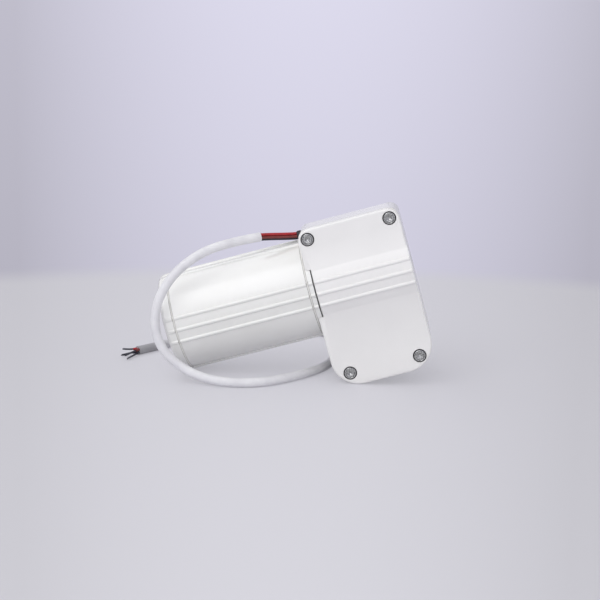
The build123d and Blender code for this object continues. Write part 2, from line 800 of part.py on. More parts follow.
# Terminal board and its parts
def make_board():
    board_z = (board_bottom, board_bottom + board_thickness)
    board = block((board_start, board_end), (board_front, board_back), board_z)
    board = fillet(board.edges().filter_by(Axis.Z), 1.5)
    for x, y in post_places:
        board -= rod_z(board_screw_radius + screw_clearance, board_bottom - 1, board_bottom + 3, x, y)
    return board


def make_board_screws():
    screws = []
    for x, y in post_places:
        head = rod_z(2 * board_screw_radius, board_bottom - 1.6, board_bottom, x, y)
        screws.append(head + rod_z(board_screw_radius, board_bottom - 0.5, board_bottom + 6, x, y))
    return screws


def make_terminal_block():
    long, wide, high = block_size
    low = board_bottom + board_thickness
    x = (block_start, block_start + long)
    return block(x, (entry_y - wide / 2, entry_y + wide / 2), (low, low + high))


def make_choke():
    z = board_bottom - choke_radius
    start = (board_start + board_end - choke_length) / 2
    return rod_x(choke_radius, start, start + choke_length, -14.0, z)


def make_capacitor():
    long, wide, high = capacitor_size
    x = (board_end - 12.0 - long, board_end - 12.0)
    return block(x, (-3.0, -3.0 + wide), (board_bottom - high, board_bottom))


def round_wire(points, radius, bend):
    line = Polyline(*points) if len(points) == 2 else FilletPolyline(*points, radius=bend)
    start = Plane(origin=line @ 0, z_dir=line % 0)
    return sweep(start * Circle(radius), path=line)


def lead_offsets():
    half = lead_spacing / 2
    return [(-half, -half), (-half, half), (half, -half), (half, half)]


def make_inner_leads():
    wires = []
    z_end = board_bottom + board_thickness + block_size[2] / 2
    for across, up in lead_offsets():
        y, z = entry_y + across, entry_z + up
        points = [
            (entry_face, y, z),
            (web_thickness + 2, y, z),
            (block_start - 5, y + across, z_end + up),
            (block_start, y + across, z_end + up),
        ]
        wires.append(round_wire(points, lead_radius, 8.0))
    return wires


def make_motor_leads():
    wires = []
    start = collar_face - end_clearance - brush_plate_thickness
    for side in (-1, 1):
        y = side * motor_lead_y
        points = [
            (start, y, motor_lead_z),
            (board_start + 4, y, motor_lead_z),
            (board_start + 4, y, board_bottom),
        ]
        wires.append(round_wire(points, motor_lead_radius, 4.0))
    return wires


def make_grommet():
    lip = rod_x(grommet_lip_radius, entry_face, grommet_seat, entry_y, entry_z)
    lip = fillet(lip.edges().sort_by(Axis.X)[0], 0.8)
    grommet = lip + rod_x(grommet_hole - seat_clearance, grommet_seat - 0.5, web_thickness, entry_y, entry_z)
    for across, up in lead_offsets():
        y, z = entry_y + across, entry_z + up
        hole = rod_x(lead_radius + seat_clearance, entry_face - 1, web_thickness + 1, y, z)
        grommet -= hole
    return grommet


# Contact plate and fingers on the cover's posts
def make_contact_plate():
    long, thick, high = contact_plate_size
    y = (-contact_plate_front, -contact_plate_front + thick)
    plate = block((output_x - long / 2, output_x + long / 2), y, (output_z - high / 2, output_z + high / 2))
    plate = fillet(plate.edges().filter_by(Axis.Y), 3.0)
    for side in (-1, 1):
        x = output_x + side * contact_post_spacing / 2
        plate -= rod_y(contact_rivet_radius + screw_clearance, cover_y, 0, x, output_z)
    return plate


def make_contact_rivets():
    back = -contact_plate_front + contact_plate_size[1]
    rivets = []
    for side in (-1, 1):
        x = output_x + side * contact_post_spacing / 2
        head = rod_y(2 * contact_rivet_radius, back, back + 1.2, x, output_z)
        rivets.append(head + rod_y(contact_rivet_radius, cover_back, back + 0.5, x, output_z))
    return rivets


def make_contact_fingers():
    back = -contact_plate_front + contact_plate_size[1]
    reach = -wheel_width / 2 - flange_thickness - contact_disc_thickness - finger_gap
    fingers = []
    for radius in finger_radii:
        z = output_z - radius
        start = output_x - 10
        points = [
            (start, back),
            (start + 5, back),
            (start + 10, reach - finger_thickness),
            (start + 12, reach - finger_thickness),
            (start + 12, reach),
            (start + 9.8, reach),
            (start + 4.8, back + finger_thickness),
            (start, back + finger_thickness),
        ]
        strip = Plane.XY.offset(z - finger_width / 2) * make_face(Polyline(*points, close=True))
        fingers.append(extrude(strip, finger_width))
    return fingers


# Every node that isn't the free cable, in the drive's own frame
front_brush, front_holder, front_spring = brush_parts()
bush_starts = (boss_front, seal_start - seal_gap - bush_length)
bearing_starts = (rear_bearing_start, front_bearing_start)
inner_ring_bore = bearing_bore + seat_clearance
turning_bore = output_radius + running_clearance
thrust_washer_start = hub_length + 0.05
outer_rings, inner_rings, balls, output_bushes = [], [], [], []
for start in bearing_starts:
    outer_rings.append(make_race(start, bearing_outer_land, bearing_radius))
    inner_rings.append(make_race(start, inner_ring_bore, bearing_inner_land))
    balls += make_balls(start)
for start in bush_starts:
    output_bushes.append(tube_y(bush_outer_radius, turning_bore, start, start + bush_length))
end_bush_bore = shaft_radius + running_clearance
thrust_washer_end = thrust_washer_start + washer_thickness
pieces = {
    "gearbox_housing": make_housing(),
    "front_cover": make_cover(),
    "cover_gasket": make_cover_gasket(),
    "cover_screws": make_cover_screws(),
    "cover_screw_seals": make_screw_seals(),
    "motor_barrel": make_barrel(),
    "rear_end_cap": make_rear_cap(),
    "barrel_gaskets": [gasket_ring(barrel_front, collar_face), gasket_ring(cap_front, barrel_back)],
    "tie_bolts": make_tie_bolts(),
    "flux_ring": make_flux_ring(),
    "field_magnets": make_magnets(),
    "brush_plate": make_brush_plate(),
    "brush_holders": pair(front_holder),
    "carbon_brushes": pair(front_brush),
    "brush_springs": pair(front_spring),
    "bearing_outer_rings": outer_rings,
    "bearing_balls": balls,
    "worm_end_bush": tube_x(end_bush_radius, end_bush_bore, end_boss_start, end_bush_end),
    "thrust_screw": make_thrust_screw(),
    "output_bushes": output_bushes,
    "output_seal": tube_y(bush_outer_radius, turning_bore, seal_start, seal_start + seal_width),
    "terminal_board": make_board(),
    "board_screws": make_board_screws(),
    "terminal_block": make_terminal_block(),
    "suppressor_choke": make_choke(),
    "suppressor_capacitor": make_capacitor(),
    "inner_leads": make_inner_leads(),
    "motor_leads": make_motor_leads(),
    "cable_grommet": make_grommet(),
    "contact_plate": make_contact_plate(),
    "contact_rivets": make_contact_rivets(),
    "contact_fingers": make_contact_fingers(),
    "armature_shaft": make_armature_shaft(),
    "armature_core": make_core(),
    "armature_windings": make_windings(),
    "commutator_bars": make_commutator(),
    "commutator_sleeve": tube_x(
        commutator_sleeve_radius - seat_clearance,
        shaft_core_radius + seat_clearance,
        commutator_front - commutator_length,
        commutator_front,
    ),
    "bearing_inner_rings": inner_rings,
    "drive_worm": make_worm(),
    "thrust_ball": Pos(shaft_end, 0, 0) * Sphere(thrust_ball_radius),
    "worm_wheel": make_wheel_rim(),
    "wheel_hub": make_hub(),
    "rim_screws": make_rim_screws(),
    "contact_disc": make_contact_disc(),
    "shaft_key": key_block(0.0),
    "output_shaft": make_output_shaft(),
    "thrust_washer": tube_y(hub_radius, turning_bore, thrust_washer_start, thrust_washer_end),
    "outer_washer": tube_y(ring_radius + 1, turning_bore, outer_washer_start, outer_washer_end),
    "shaft_rings": [make_ring(*front_ring_span), make_ring(*back_ring_span)],
}


# Tip the drive onto the line that touches the rear cap's rim and the box's lower left corner.
rim_x, rim_z = cap_back + rear_cap_round, rear_cap_round - rib_radius
corner_x, corner_z = bottom_corner, bottom_corner - box_bottom
between = math.hypot(corner_x - rim_x, corner_z - rim_z)
lean = math.asin((bottom_corner - rear_cap_round) / between)
tilt = math.degrees(lean - math.atan2(corner_z - rim_z, corner_x - rim_x))


def solids_of(piece):
    members = piece if isinstance(piece, (list, tuple)) else [piece]
    return [solid for member in members for solid in member.solids()]


lean_over = Rot(0, -tilt, 0)
tipped = {name: [lean_over * solid for solid in solids_of(piece)] for name, piece in pieces.items()}
whole = Compound([solid for solids in tipped.values() for solid in solids]).bounding_box()
foot = Pos(-whole.center().X, -whole.center().Y, -whole.min.Z)
placed = {name: [foot * solid for solid in solids] for name, solids in tipped.items()}
print("tilt", round(tilt, 3), "origin at", [round(value, 3) for value in foot.position])
print("size without the cable", [round(value, 2) for value in whole.size])


# The free cable, laid out where the drive stands: the jacket's points are its middle line.
jacket_points = [
    (-25.5, -29.5, 99.7),
    (-42.5, -38.0, 97.2),
    (-67.0, -49.0, 90.0),
    (-88.0, -57.0, 71.5),
    (-97.5, -60.5, 46.5),
    (-91.5, -61.5, 22.5),
    (-72.0, -62.0, 7.0),
    (-48.0, -71.5, 3.25),
    (-21.0, -69.0, 3.25),
    (1.5, -48.5, 3.25),
    (20.0, -28.0, 3.25),
    (27.0, -3.0, 3.25),
    (28.5, 25.0, 3.25),
    (33.5, 54.0, 3.25),
    (29.0, 84.0, 3.25),
    (5.0, 104.0, 3.25),
    (-29.0, 103.0, 3.25),
    (-61.0, 84.0, 3.25),
    (-87.0, 56.0, 3.25),
    (-106.0, 29.0, 3.25),
    (-117.0, 15.0, 3.25),
]
tail_points = {
    "red_tail": [(-125.0, 10.6, 4.5), (-129.8, 10.3, 4.7)],
    "black_tail": [(-125.5, 7.6, 1.7), (-129.6, 3.9, 1.4)],
    "brown_tail": [(-122.5, 5.0, 3.4), (-125.6, 0.0, 2.3)],
    "blue_tail": [(-120.6, 6.0, 1.6), (-121.2, 1.2, 1.1)],
}


def corner_radii(points):
    # Each arc takes 0.45 of the shorter run beside its corner.
    radii = []
    for before, corner, after in zip(points, points[1:], points[2:]):
        run_in = Vector(*corner) - Vector(*before)
        run_out = Vector(*after) - Vector(*corner)
        half_turn = math.radians(run_in.get_angle(run_out)) / 2
        radii.append(0.45 * min(run_in.length, run_out.length) / math.tan(half_turn))
    return radii


def make_cord(name, points, radius):
    radii = corner_radii(points)
    line = FilletPolyline(*points, radius=radii)
    cord = sweep(Plane(origin=line @ 0, z_dir=line % 0) * Circle(radius), path=line)
    share = cord.volume / (math.pi * radius**2 * line.length)
    print(name, "length", round(line.length, 1), "volume share", round(share, 4))
    print("    radii", [round(value, 1) for value in radii])
    return cord


def stood(x, y, z):
    return (foot * lean_over * Pos(x, y, z)).position


def across_line(point, heading, across, up):
    # A place beside a point of the jacket, with across to the back and up on top.
    side = heading.cross(Vector(0, 0, 1)).normalized()
    return Vector(*point) + side * across + side.cross(heading) * up


jacket_heading = (Vector(*jacket_points[1]) - Vector(*jacket_points[0])).normalized()
tail_heading = (Vector(*jacket_points[-1]) - Vector(*jacket_points[-2])).normalized()
placed["supply_cable"] = [make_cord("supply_cable", jacket_points, jacket_radius)]
for color, (across, up) in zip(("black", "red", "blue", "brown"), lead_offsets()):
    y, z = entry_y + across, entry_z + up
    meeting = across_line(jacket_points[0], jacket_heading, across, up)
    points = [stood(entry_face, y, z), stood(entry_face - lead_run, y, z)]
    points += [meeting - jacket_heading * lead_run, meeting]
    placed[f"{color}_lead"] = [make_cord(f"{color}_lead", points, lead_radius)]
tail_offsets = dict(zip(("blue", "brown", "black", "red"), lead_offsets()))
for name, free_points in tail_points.items():
    start = across_line(jacket_points[-1], tail_heading, *tail_offsets[name.split("_")[0]])
    points = [start, start + tail_heading * tail_run] + [Vector(*point) for point in free_points]
    placed[name] = [make_cord(name, points, lead_radius)]


os.makedirs("parts", exist_ok=True)
for name, solids in placed.items():
    shape = solids[0] if len(solids) == 1 else Compound(solids)
    export_step(shape, f"parts/{name}.step")
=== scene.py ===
import json
import math
import random
import bmesh
import bpy
from mathutils import Matrix, Vector


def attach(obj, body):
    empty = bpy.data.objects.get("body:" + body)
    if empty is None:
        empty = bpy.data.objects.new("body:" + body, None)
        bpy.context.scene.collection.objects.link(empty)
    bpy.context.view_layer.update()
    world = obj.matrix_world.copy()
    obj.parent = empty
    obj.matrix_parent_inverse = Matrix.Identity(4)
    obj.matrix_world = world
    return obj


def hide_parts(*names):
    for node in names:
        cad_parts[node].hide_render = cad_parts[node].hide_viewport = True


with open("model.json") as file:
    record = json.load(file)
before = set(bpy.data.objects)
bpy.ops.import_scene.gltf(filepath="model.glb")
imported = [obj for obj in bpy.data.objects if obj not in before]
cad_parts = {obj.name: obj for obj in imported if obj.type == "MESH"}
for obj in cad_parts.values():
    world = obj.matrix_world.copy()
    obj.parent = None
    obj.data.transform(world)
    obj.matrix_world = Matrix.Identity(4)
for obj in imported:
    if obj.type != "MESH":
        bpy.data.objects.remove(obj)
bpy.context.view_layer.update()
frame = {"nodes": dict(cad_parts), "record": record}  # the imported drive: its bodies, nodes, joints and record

scene = bpy.context.scene
nodes = frame["nodes"]
record = frame["record"]
print("frame loaded with", len(nodes), "nodes")

# Pieces are drawn in millimetres in the drive's own frame, from where the motor axis meets the
# gearbox: X along the motor, Y back along the output shaft, Z up. Then they are stood up with it.
joints = {joint["name"]: joint for joint in record["behaviour"]["joints"]}
motorJoint, outputJoint = joints["armature_spin"], joints["output_turn"]
motorPoint = Vector(motorJoint["pos_m"])
lean = math.atan2(motorJoint["axis"][2], motorJoint["axis"][0])
standing = Matrix.Translation(motorPoint) @ Matrix.Rotation(-lean, 4, "Y") @ Matrix.Scale(0.001, 4)
outputPoint = standing.inverted() @ Vector(outputJoint["pos_m"])
outputX, outputZ = outputPoint.x, outputPoint.z
alongY = Matrix.Rotation(math.radians(90), 4, "Z")  # turns a piece made along X to run along Y
alongZ = Matrix.Rotation(math.radians(-90), 4, "Y")


# Shapes, in millimetres
poleRadius = 0.0004  # a ring this small merges into one point


def softened(corners, steps=5):
    # a profile's corners (place, radius, rounding) turned into the places that its rings pass
    stations = []
    for index, (place, radius, rounding) in enumerate(corners):
        here = Vector((place, radius))
        if not rounding:
            stations.append(here)
            continue
        before = Vector(corners[index - 1][:2])
        after = Vector(corners[(index + 1) % len(corners)][:2])
        start = here + (before - here).normalized() * rounding
        end = here + (after - here).normalized() * rounding
        for step in range(steps + 1):
            share = step / steps
            stations.append(start.lerp(here, share).lerp(here.lerp(end, share), share))
    return stations


def turned(corners, angles=64, skin=None, closed=False, at=None, steps=5):
    # rings along X joined into one skin; skin says how far a ring really reaches at an angle
    if isinstance(angles, int):
        angles = [360 * number / angles for number in range(angles)]
    mesh = bmesh.new()
    bmesh.ops.create_circle(mesh, cap_ends=False, radius=1, segments=len(angles))
    turns = {}
    for vert in mesh.verts:
        number = round(math.degrees(math.atan2(vert.co.y, vert.co.x)) % 360 / 360 * len(angles))
        turns[vert] = math.radians(angles[number % len(angles)])
    stations = softened(corners, steps)
    if closed:
        stations.append(stations[0])
    rim = mesh.edges[:]
    for number, (place, radius) in enumerate(stations):
        if number:
            grown = bmesh.ops.extrude_edge_only(mesh, edges=rim)["geom"]
            fresh = {item for item in grown if isinstance(item, bmesh.types.BMVert)}
            turns = {vert: math.atan2(vert.co.z, -vert.co.y) for vert in fresh}
            rim = [item for item in grown if isinstance(item, bmesh.types.BMEdge)]
            rim = [edge for edge in rim if edge.verts[0] in fresh and edge.verts[1] in fresh]
        for vert, turn in turns.items():
            reach = max(skin(turn, radius, place) if skin else radius, poleRadius)
            vert.co = (place, -reach * math.cos(turn), reach * math.sin(turn))
    bmesh.ops.remove_doubles(mesh, verts=mesh.verts[:], dist=0.001)
    bmesh.ops.recalc_face_normals(mesh, faces=mesh.faces[:])
    if at is not None:
        mesh.transform(at)
    return mesh


def rod(radius, start, end, at=None, segments=48):
    corners = [(start, 0, 0), (start, radius, 0), (end, radius, 0), (end, 0, 0)]
    return turned(corners, segments, at=at)


def brick(x, y, z):
    mesh = bmesh.new()
    bmesh.ops.create_cube(mesh, size=1)
    middle = Vector([(side[0] + side[1]) / 2 for side in (x, y, z)])
    size = Vector([side[1] - side[0] for side in (x, y, z)])
    bmesh.ops.scale(mesh, vec=size, verts=mesh.verts[:])
    bmesh.ops.translate(mesh, vec=middle, verts=mesh.verts[:])
    return mesh


def gathered(meshes):
    # several separate shapes as one mesh
    whole = bmesh.new()
    for mesh in meshes:
        data = bpy.data.meshes.new("part")
        mesh.to_mesh(data)
        mesh.free()
        whole.from_mesh(data)
        bpy.data.meshes.remove(data)
    return whole


def placed(name, mesh):
    # a mesh as an object in the scene
    data = bpy.data.meshes.new(name)
    mesh.to_mesh(data)
    mesh.free()
    thing = bpy.data.objects.new(name, data)
    scene.collection.objects.link(thing)
    return thing


def shaped(base, operation, tool):
    # one mesh joined to, cut by or kept inside another
    things = [placed("shape", mesh) for mesh in (base, tool)]
    modifier = things[0].modifiers.new("shape", "BOOLEAN")
    modifier.operation = operation
    modifier.solver = "EXACT"
    modifier.object = things[1]
    evaluated = things[0].evaluated_get(bpy.context.evaluated_depsgraph_get())
    result = bmesh.new()
    result.from_mesh(evaluated.to_mesh())
    evaluated.to_mesh_clear()
    for thing in things:
        data = thing.data
        bpy.data.objects.remove(thing)
        bpy.data.meshes.remove(data)
    return result


def finishPiece(name, mesh, body, slotName, replaced=(), sharp=32):
    # the mesh becomes a piece of the standing drive, with its body and the finish its slot names;
    # slivers that a cut leaves are merged, and the small holes that leaves are closed
    bmesh.ops.remove_doubles(mesh, verts=mesh.verts[:], dist=0.0005)
    bmesh.ops.holes_fill(mesh, edges=[edge for edge in mesh.edges if edge.is_boundary], sides=8)
    mesh.transform(standing)
    piece = placed(name, mesh)
    piece.data.shade_smooth()
    piece.data.set_sharp_from_angle(angle=math.radians(sharp))
    return settle(piece, body, slotName, replaced)


def settle(piece, body, slotName, replaced=()):
    piece.data.materials.append(finishes[slotName])
    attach(piece, body)
    if replaced:
        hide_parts(*replaced)
    return piece


# Finishes
def linearColor(code):
    channels = [int(code[index:index + 2], 16) / 255 for index in (0, 2, 4)]
    linear = [value / 12.92 if value <= 0.04045 else ((value + 0.055) / 1.055) ** 2.4
              for value in channels]
    return (*linear, 1)


def addNode(tree, kind, settings=None, **inputs):
    # one node with its settings, its values and its links; an underscore stands for a space
    node = tree.nodes.new(kind)
    for name, value in (settings or {}).items():
        setattr(node, name, value)
    for name, value in inputs.items():
        numbered = name[1:].isdigit()  # i0 is the first socket, where names repeat
        socket = node.inputs[int(name[1:]) if numbered else name.replace("_", " ")]
        if isinstance(value, bpy.types.NodeSocket):
            tree.links.new(value, socket)
        else:
            socket.default_value = value
    return node


patchEnds = (0.3, 0.7)  # the noise values that take the two ends of a range
lineShade = 0.25  # how much darker the lines are than what is between them


def makeFinish(name, colors, patch, grain, height, roughness, stretch=(1, 1, 1), lines=None,
               paintedShade=None, **sockets):
    # colors are mixed in patches that many mm wide; grain and height are the skin's bumps, in mm;
    # roughness goes from low to high over the same patches; lines are (pitch, axis, depth) in mm;
    # the painted shade is given as (place, color, reaches in m), and greys the skin round that place
    material = bpy.data.materials.new(name)
    material.use_nodes = True
    tree = material.node_tree
    tree.nodes.clear()
    where = addNode(tree, "ShaderNodeTexCoord")
    turn = Matrix.Rotation(lean, 3, "Y")
    local = addNode(tree, "ShaderNodeMapping", Vector=where.outputs["Object"], Rotation=(0, lean, 0),
                    Scale=(1000, 1000, 1000), Location=turn @ motorPoint * -1000).outputs["Vector"]
    patches = addNode(tree, "ShaderNodeTexNoise", Vector=local, Scale=1 / patch, Detail=3.0)
    share = addNode(tree, "ShaderNodeMapRange", Value=patches.outputs["Fac"], From_Min=patchEnds[0],
                    From_Max=patchEnds[1])
    color = addNode(tree, "ShaderNodeMix", {"data_type": "RGBA"}, i0=share.outputs["Result"],
                    i6=linearColor(colors[0]), i7=linearColor(colors[1])).outputs[2]
    # painted shade: the colour turns to a darker grey round the given place
    if paintedShade:
        place, paintedShadeColor, reaches = paintedShade
        away = addNode(tree, "ShaderNodeVectorMath", {"operation": "DISTANCE"},
                       i0=where.outputs["Object"], i1=place).outputs["Value"]
        unshadedShare = addNode(tree, "ShaderNodeMapRange", {"interpolation_type": "SMOOTHSTEP"}, Value=away,
                        From_Min=reaches[0], From_Max=reaches[1]).outputs["Result"]
        color = addNode(tree, "ShaderNodeMix", {"data_type": "RGBA"}, i0=unshadedShare,
                        i6=linearColor(paintedShadeColor), i7=color).outputs[2]
    dullness = addNode(tree, "ShaderNodeMapRange", Value=patches.outputs["Fac"], From_Min=patchEnds[0],
                       From_Max=patchEnds[1], To_Min=roughness[0], To_Max=roughness[1])
    pulled = addNode(tree, "ShaderNodeMapping", Vector=local, Scale=stretch)
    grains = addNode(tree, "ShaderNodeTexNoise", Vector=pulled.outputs["Vector"], Scale=1 / grain,
                     Detail=2.0)
    bump = addNode(tree, "ShaderNodeBump", Height=grains.outputs["Fac"], Distance=height / 1000,
                   Strength=1.0)
    if lines:
        pitch, axis, depth = lines
        bands = addNode(tree, "ShaderNodeTexWave", {"bands_direction": axis}, Vector=local,
                        Scale=math.pi / 10 / pitch, Distortion=0.0)
        bump = addNode(tree, "ShaderNodeBump", Height=bands.outputs["Fac"], Distance=depth / 1000,
                       Strength=1.0, Normal=bump.outputs["Normal"])
        color = addNode(tree, "ShaderNodeMix", {"data_type": "RGBA", "blend_type": "MULTIPLY"},
                        i0=lineShade, i6=color, i7=bands.outputs["Color"]).outputs[2]
    shader = addNode(tree, "ShaderNodeBsdfPrincipled", Base_Color=color,
                     Roughness=dullness.outputs["Result"], Normal=bump.outputs["Normal"], **sockets)
    addNode(tree, "ShaderNodeOutputMaterial", Surface=shader.outputs["BSDF"])
    return material


jacketEnd = (-0.1185, 0.0130, 0.00325)  # in metres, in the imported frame
finishes = {
    # die-cast and drawn aluminium under gloss enamel: warm white, long soft highlights, faint
    # orange peel
    "white_casting": makeFinish("whiteGlossEnamel", ("E9E9E5", "EDEDEA"), 26, 1.6, 0.002, (0.2, 0.26),
                                Coat_Weight=0.5, Coat_Roughness=0.16),
    # the same enamel over the flat cover: a cooler white with a satin face
    "white_cover": makeFinish("whiteSatinEnamel", ("EFEEEC", "F2F1EF"), 24, 1.3, 0.003, (0.32, 0.38),
                              Coat_Weight=0.2, Coat_Roughness=0.2),
    # moulded silicone sealing strip: yellowish white and dull
    "seal_rubber": makeFinish("siliconeSeal", ("E6E5DF", "ECEBE6"), 5, 0.4, 0.01, (0.55, 0.7)),
    # moulded nitrile rubber: near black, dull, slightly bloomed
    "black_rubber": makeFinish("nitrileRubber", ("0E0E10", "1A1A1C"), 4, 0.3, 0.01, (0.6, 0.75)),
    # zinc-plated steel screws: bluish grey, blasted heads that scatter their glints
    "zinc_screws": makeFinish("zincPlatedSteel", ("8C8D8B", "C9CAC7"), 0.9, 0.3, 0.025, (0.14, 0.32),
                              Metallic=1.0),
    # ground and hardened shaft steel: bright, with fine turning lines
    "ground_steel": makeFinish("groundSteel", ("B4B5B8", "C6C7CA"), 6, 0.5, 0.002, (0.18, 0.28),
                               stretch=(1, 8, 1), Metallic=1.0),
    # pressed core sheets: dark edges of half-millimetre laminations
    "core_steel": makeFinish("laminatedCoreSteel", ("55565A", "6B6C70"), 8, 0.4, 0.01, (0.4, 0.55),
                             lines=(0.5, "X", 0.05), Metallic=1.0),
    # rolled steel strip bent round: plated, with long roller marks
    "flux_steel": makeFinish("rolledSteelRing", ("77797C", "8C8E91"), 10, 0.6, 0.004, (0.3, 0.45),
                             stretch=(6, 1, 1), Metallic=1.0),
    # pressed and fired ferrite: charcoal, with ground faces
    "ferrite": makeFinish("firedFerrite", ("2B2C2F", "393A3D"), 5, 0.35, 0.015, (0.5, 0.65)),
    # enamelled copper wire, drawn half a millimetre thick and laid side by side
    "copper": makeFinish("enamelledCopper", ("A8552A", "BC6A3A"), 4, 0.5, 0.01, (0.25, 0.4),
                         lines=(0.8, "Y", 0.12), Metallic=1.0),
    # stamped and machined brass: warm yellow with drawn streaks
    "brass": makeFinish("machinedBrass", ("B8923F", "C8A452"), 5, 0.5, 0.004, (0.24, 0.36),
                        stretch=(1, 5, 1), Metallic=1.0),
    # sintered bronze, soaked in oil: brown, open pores
    "bronze": makeFinish("sinteredBronze", ("7E5A2E", "94703E"), 2, 0.22, 0.02, (0.4, 0.55),
                         Metallic=1.0),
    # pressed carbon and copper powder: black with a faint shine
    "carbon": makeFinish("pressedCarbon", ("17171A", "2A2A2C"), 1.5, 0.25, 0.012, (0.42, 0.6)),
    # paper laminate bonded with resin: brown, fibres along its sheet
    "phenolic": makeFinish("paperPhenolic", ("6A3B1E", "7D4A28"), 6, 0.5, 0.01, (0.35, 0.5),
                           stretch=(1, 1, 6)),
    # moulded nylon: milky, fine spark texture
    "white_plastic": makeFinish("mouldedNylon", ("DCD9CE", "E4E1D7"), 8, 0.35, 0.008, (0.38, 0.5)),
    # moulded acetal: waxy ivory with slick teeth
    "gear_plastic": makeFinish("mouldedAcetal", ("DDD7C0", "E5E0CC"), 9, 0.5, 0.003, (0.22, 0.32)),
    # dipped epoxy: glossy amber skin with soft sags
    "capacitor_skin": makeFinish("dippedEpoxy", ("B4661A", "C67624"), 4, 2.0, 0.05, (0.12, 0.2)),
    # soft rubber bushing: black, slightly shiny where it is handled
    "grommet_rubber": makeFinish("softRubber", ("16161A", "26262A"), 3, 0.3, 0.008, (0.5, 0.62)),
    # extruded PVC jacket: greyish white, dull, faint length-wise unevenness, and painted shade that
    # greys it near its cut end
    "jacket_vinyl": makeFinish("extrudedJacketVinyl", ("DBDADE", "EAEAEC"), 11, 3.5, 0.05, (0.42, 0.55),
                               paintedShade=(jacketEnd, "A3A2A5", (0.012, 0.045))),
    # extruded wire insulation in its four colours: smooth and slightly shiny
    "red_vinyl": makeFinish("redWireVinyl", ("A01C22", "B8282E"), 5, 1.2, 0.01, (0.3, 0.4)),
    "black_vinyl": makeFinish("blackWireVinyl", ("1C1A24", "2A2836"), 5, 1.2, 0.01, (0.3, 0.4)),
    "brown_vinyl": makeFinish("brownWireVinyl", ("6E2A26", "803632"), 5, 1.2, 0.01, (0.3, 0.4)),
    "blue_vinyl": makeFinish("blueWireVinyl", ("23243E", "30304E"), 5, 1.2, 0.01, (0.3, 0.4)),
}
# tinned copper strands: grey metal with a soft shine
tinnedCopper = makeFinish("tinnedCopper", ("4E4F54", "6C6D72"), 0.8, 0.2, 0.01, (0.3, 0.45),
                          Metallic=1.0)
print("finishes made:", len(finishes) + 1)


# Camera, floor and lights
studio = {
    "eye": (0.04841, -1.10868, 0.27966), "heading": 2.365, "tip": 78.24, "roll": 1.40, "lens": 92.98,
    "floor": 25, "drop": 0.0002,  # its radius, and how far it lies below what stands on it
    "table": (0.06, -0.39), "tableEdge": (0.722, 0.814),  # its middle, and where it fades out
    "tableSkin": "D3D2D8", "tableMiddle": "DFDEE5", "tableSide": "C5C4C9",
    "backMiddle": "D1CFE0", "backSide": "B6B4C1",
    "glowMiddle": -0.041, "glowWidth": 0.187,  # sideways for each metre ahead of the camera
    "facing": (0.75, 0.95),  # how nearly ahead a way points where the glow starts and where it is full
    "glowRise": 0.14, "farDip": 0.2,  # more light far off, and the slope down where that starts
    "leastLevel": 0.1, "leastAhead": 0.3,  # least divisors, for ways that point aside or back
    "ownLight": 0.45,  # how much of the table's look no shadow dims
    "roomColor": "F6F6FA", "room": 0.64,
}
eyeTurn = Matrix.Rotation(math.radians(studio["heading"]), 4, "Z")
eyeTurn = eyeTurn @ Matrix.Rotation(math.radians(studio["tip"]), 4, "X")
eyeTurn = eyeTurn @ Matrix.Rotation(math.radians(studio["roll"]), 4, "Z")
camera = bpy.data.objects.new("camera", bpy.data.cameras.new("camera"))
camera.data.lens = studio["lens"]
camera.data.sensor_width = 36
camera.data.clip_start, camera.data.clip_end = 0.05, 60
camera.matrix_world = Matrix.Translation(Vector(studio["eye"])) @ eyeTurn
scene.collection.objects.link(camera)
scene.camera = camera


def isSeen(tree):
    # 1 where the background is looked at, mirrored or seen through something, and 0 where it lights
    ray = addNode(tree, "ShaderNodeLightPath").outputs
    seen = addNode(tree, "ShaderNodeMath", {"operation": "MAXIMUM"}, i0=ray["Is Camera Ray"],
                   i1=ray["Is Glossy Ray"]).outputs[0]
    return addNode(tree, "ShaderNodeMath", {"operation": "MAXIMUM"}, i0=seen,
                   i1=ray["Is Transmission Ray"]).outputs[0]


def glowAround(tree, way):
    # the lamps glow straight ahead of the camera; for a way from it, this gives how far the glow has
    # fallen off to the side and how nearly the way points ahead, each from 0 to 1
    level = addNode(tree, "ShaderNodeVectorMath", {"operation": "MULTIPLY"}, i0=way, i1=(1, 1, 0))
    level = addNode(tree, "ShaderNodeVectorMath", {"operation": "NORMALIZE"}, i0=level.outputs["Vector"])
    level = addNode(tree, "ShaderNodeSeparateXYZ", Vector=level.outputs["Vector"]).outputs
    facing = addNode(tree, "ShaderNodeMapRange", {"interpolation_type": "SMOOTHSTEP"}, Value=level["Y"],
                     From_Min=studio["facing"][0], From_Max=studio["facing"][1]).outputs["Result"]
    aside = addNode(tree, "ShaderNodeMath", {"operation": "MAXIMUM"}, i0=level["Y"],
                    i1=studio["leastLevel"]).outputs[0]
    aside = addNode(tree, "ShaderNodeMath", {"operation": "DIVIDE"}, i0=level["X"], i1=aside).outputs[0]
    aside = addNode(tree, "ShaderNodeMapRange", {"clamp": False}, Value=aside,
                    From_Min=studio["glowMiddle"],
                    From_Max=studio["glowMiddle"] + studio["glowWidth"]).outputs["Result"]
    aside = addNode(tree, "ShaderNodeMath", {"operation": "MULTIPLY", "use_clamp": True}, i0=aside,
                    i1=aside).outputs[0]
    aside = addNode(tree, "ShaderNodeMath", {"operation": "MULTIPLY"}, i0=aside, i1=facing).outputs[0]
    return aside, facing


def backColor(tree, aside):
    return addNode(tree, "ShaderNodeMix", {"data_type": "RGBA"}, i0=aside,
                   i6=linearColor(studio["backMiddle"]), i7=linearColor(studio["backSide"])).outputs[2]


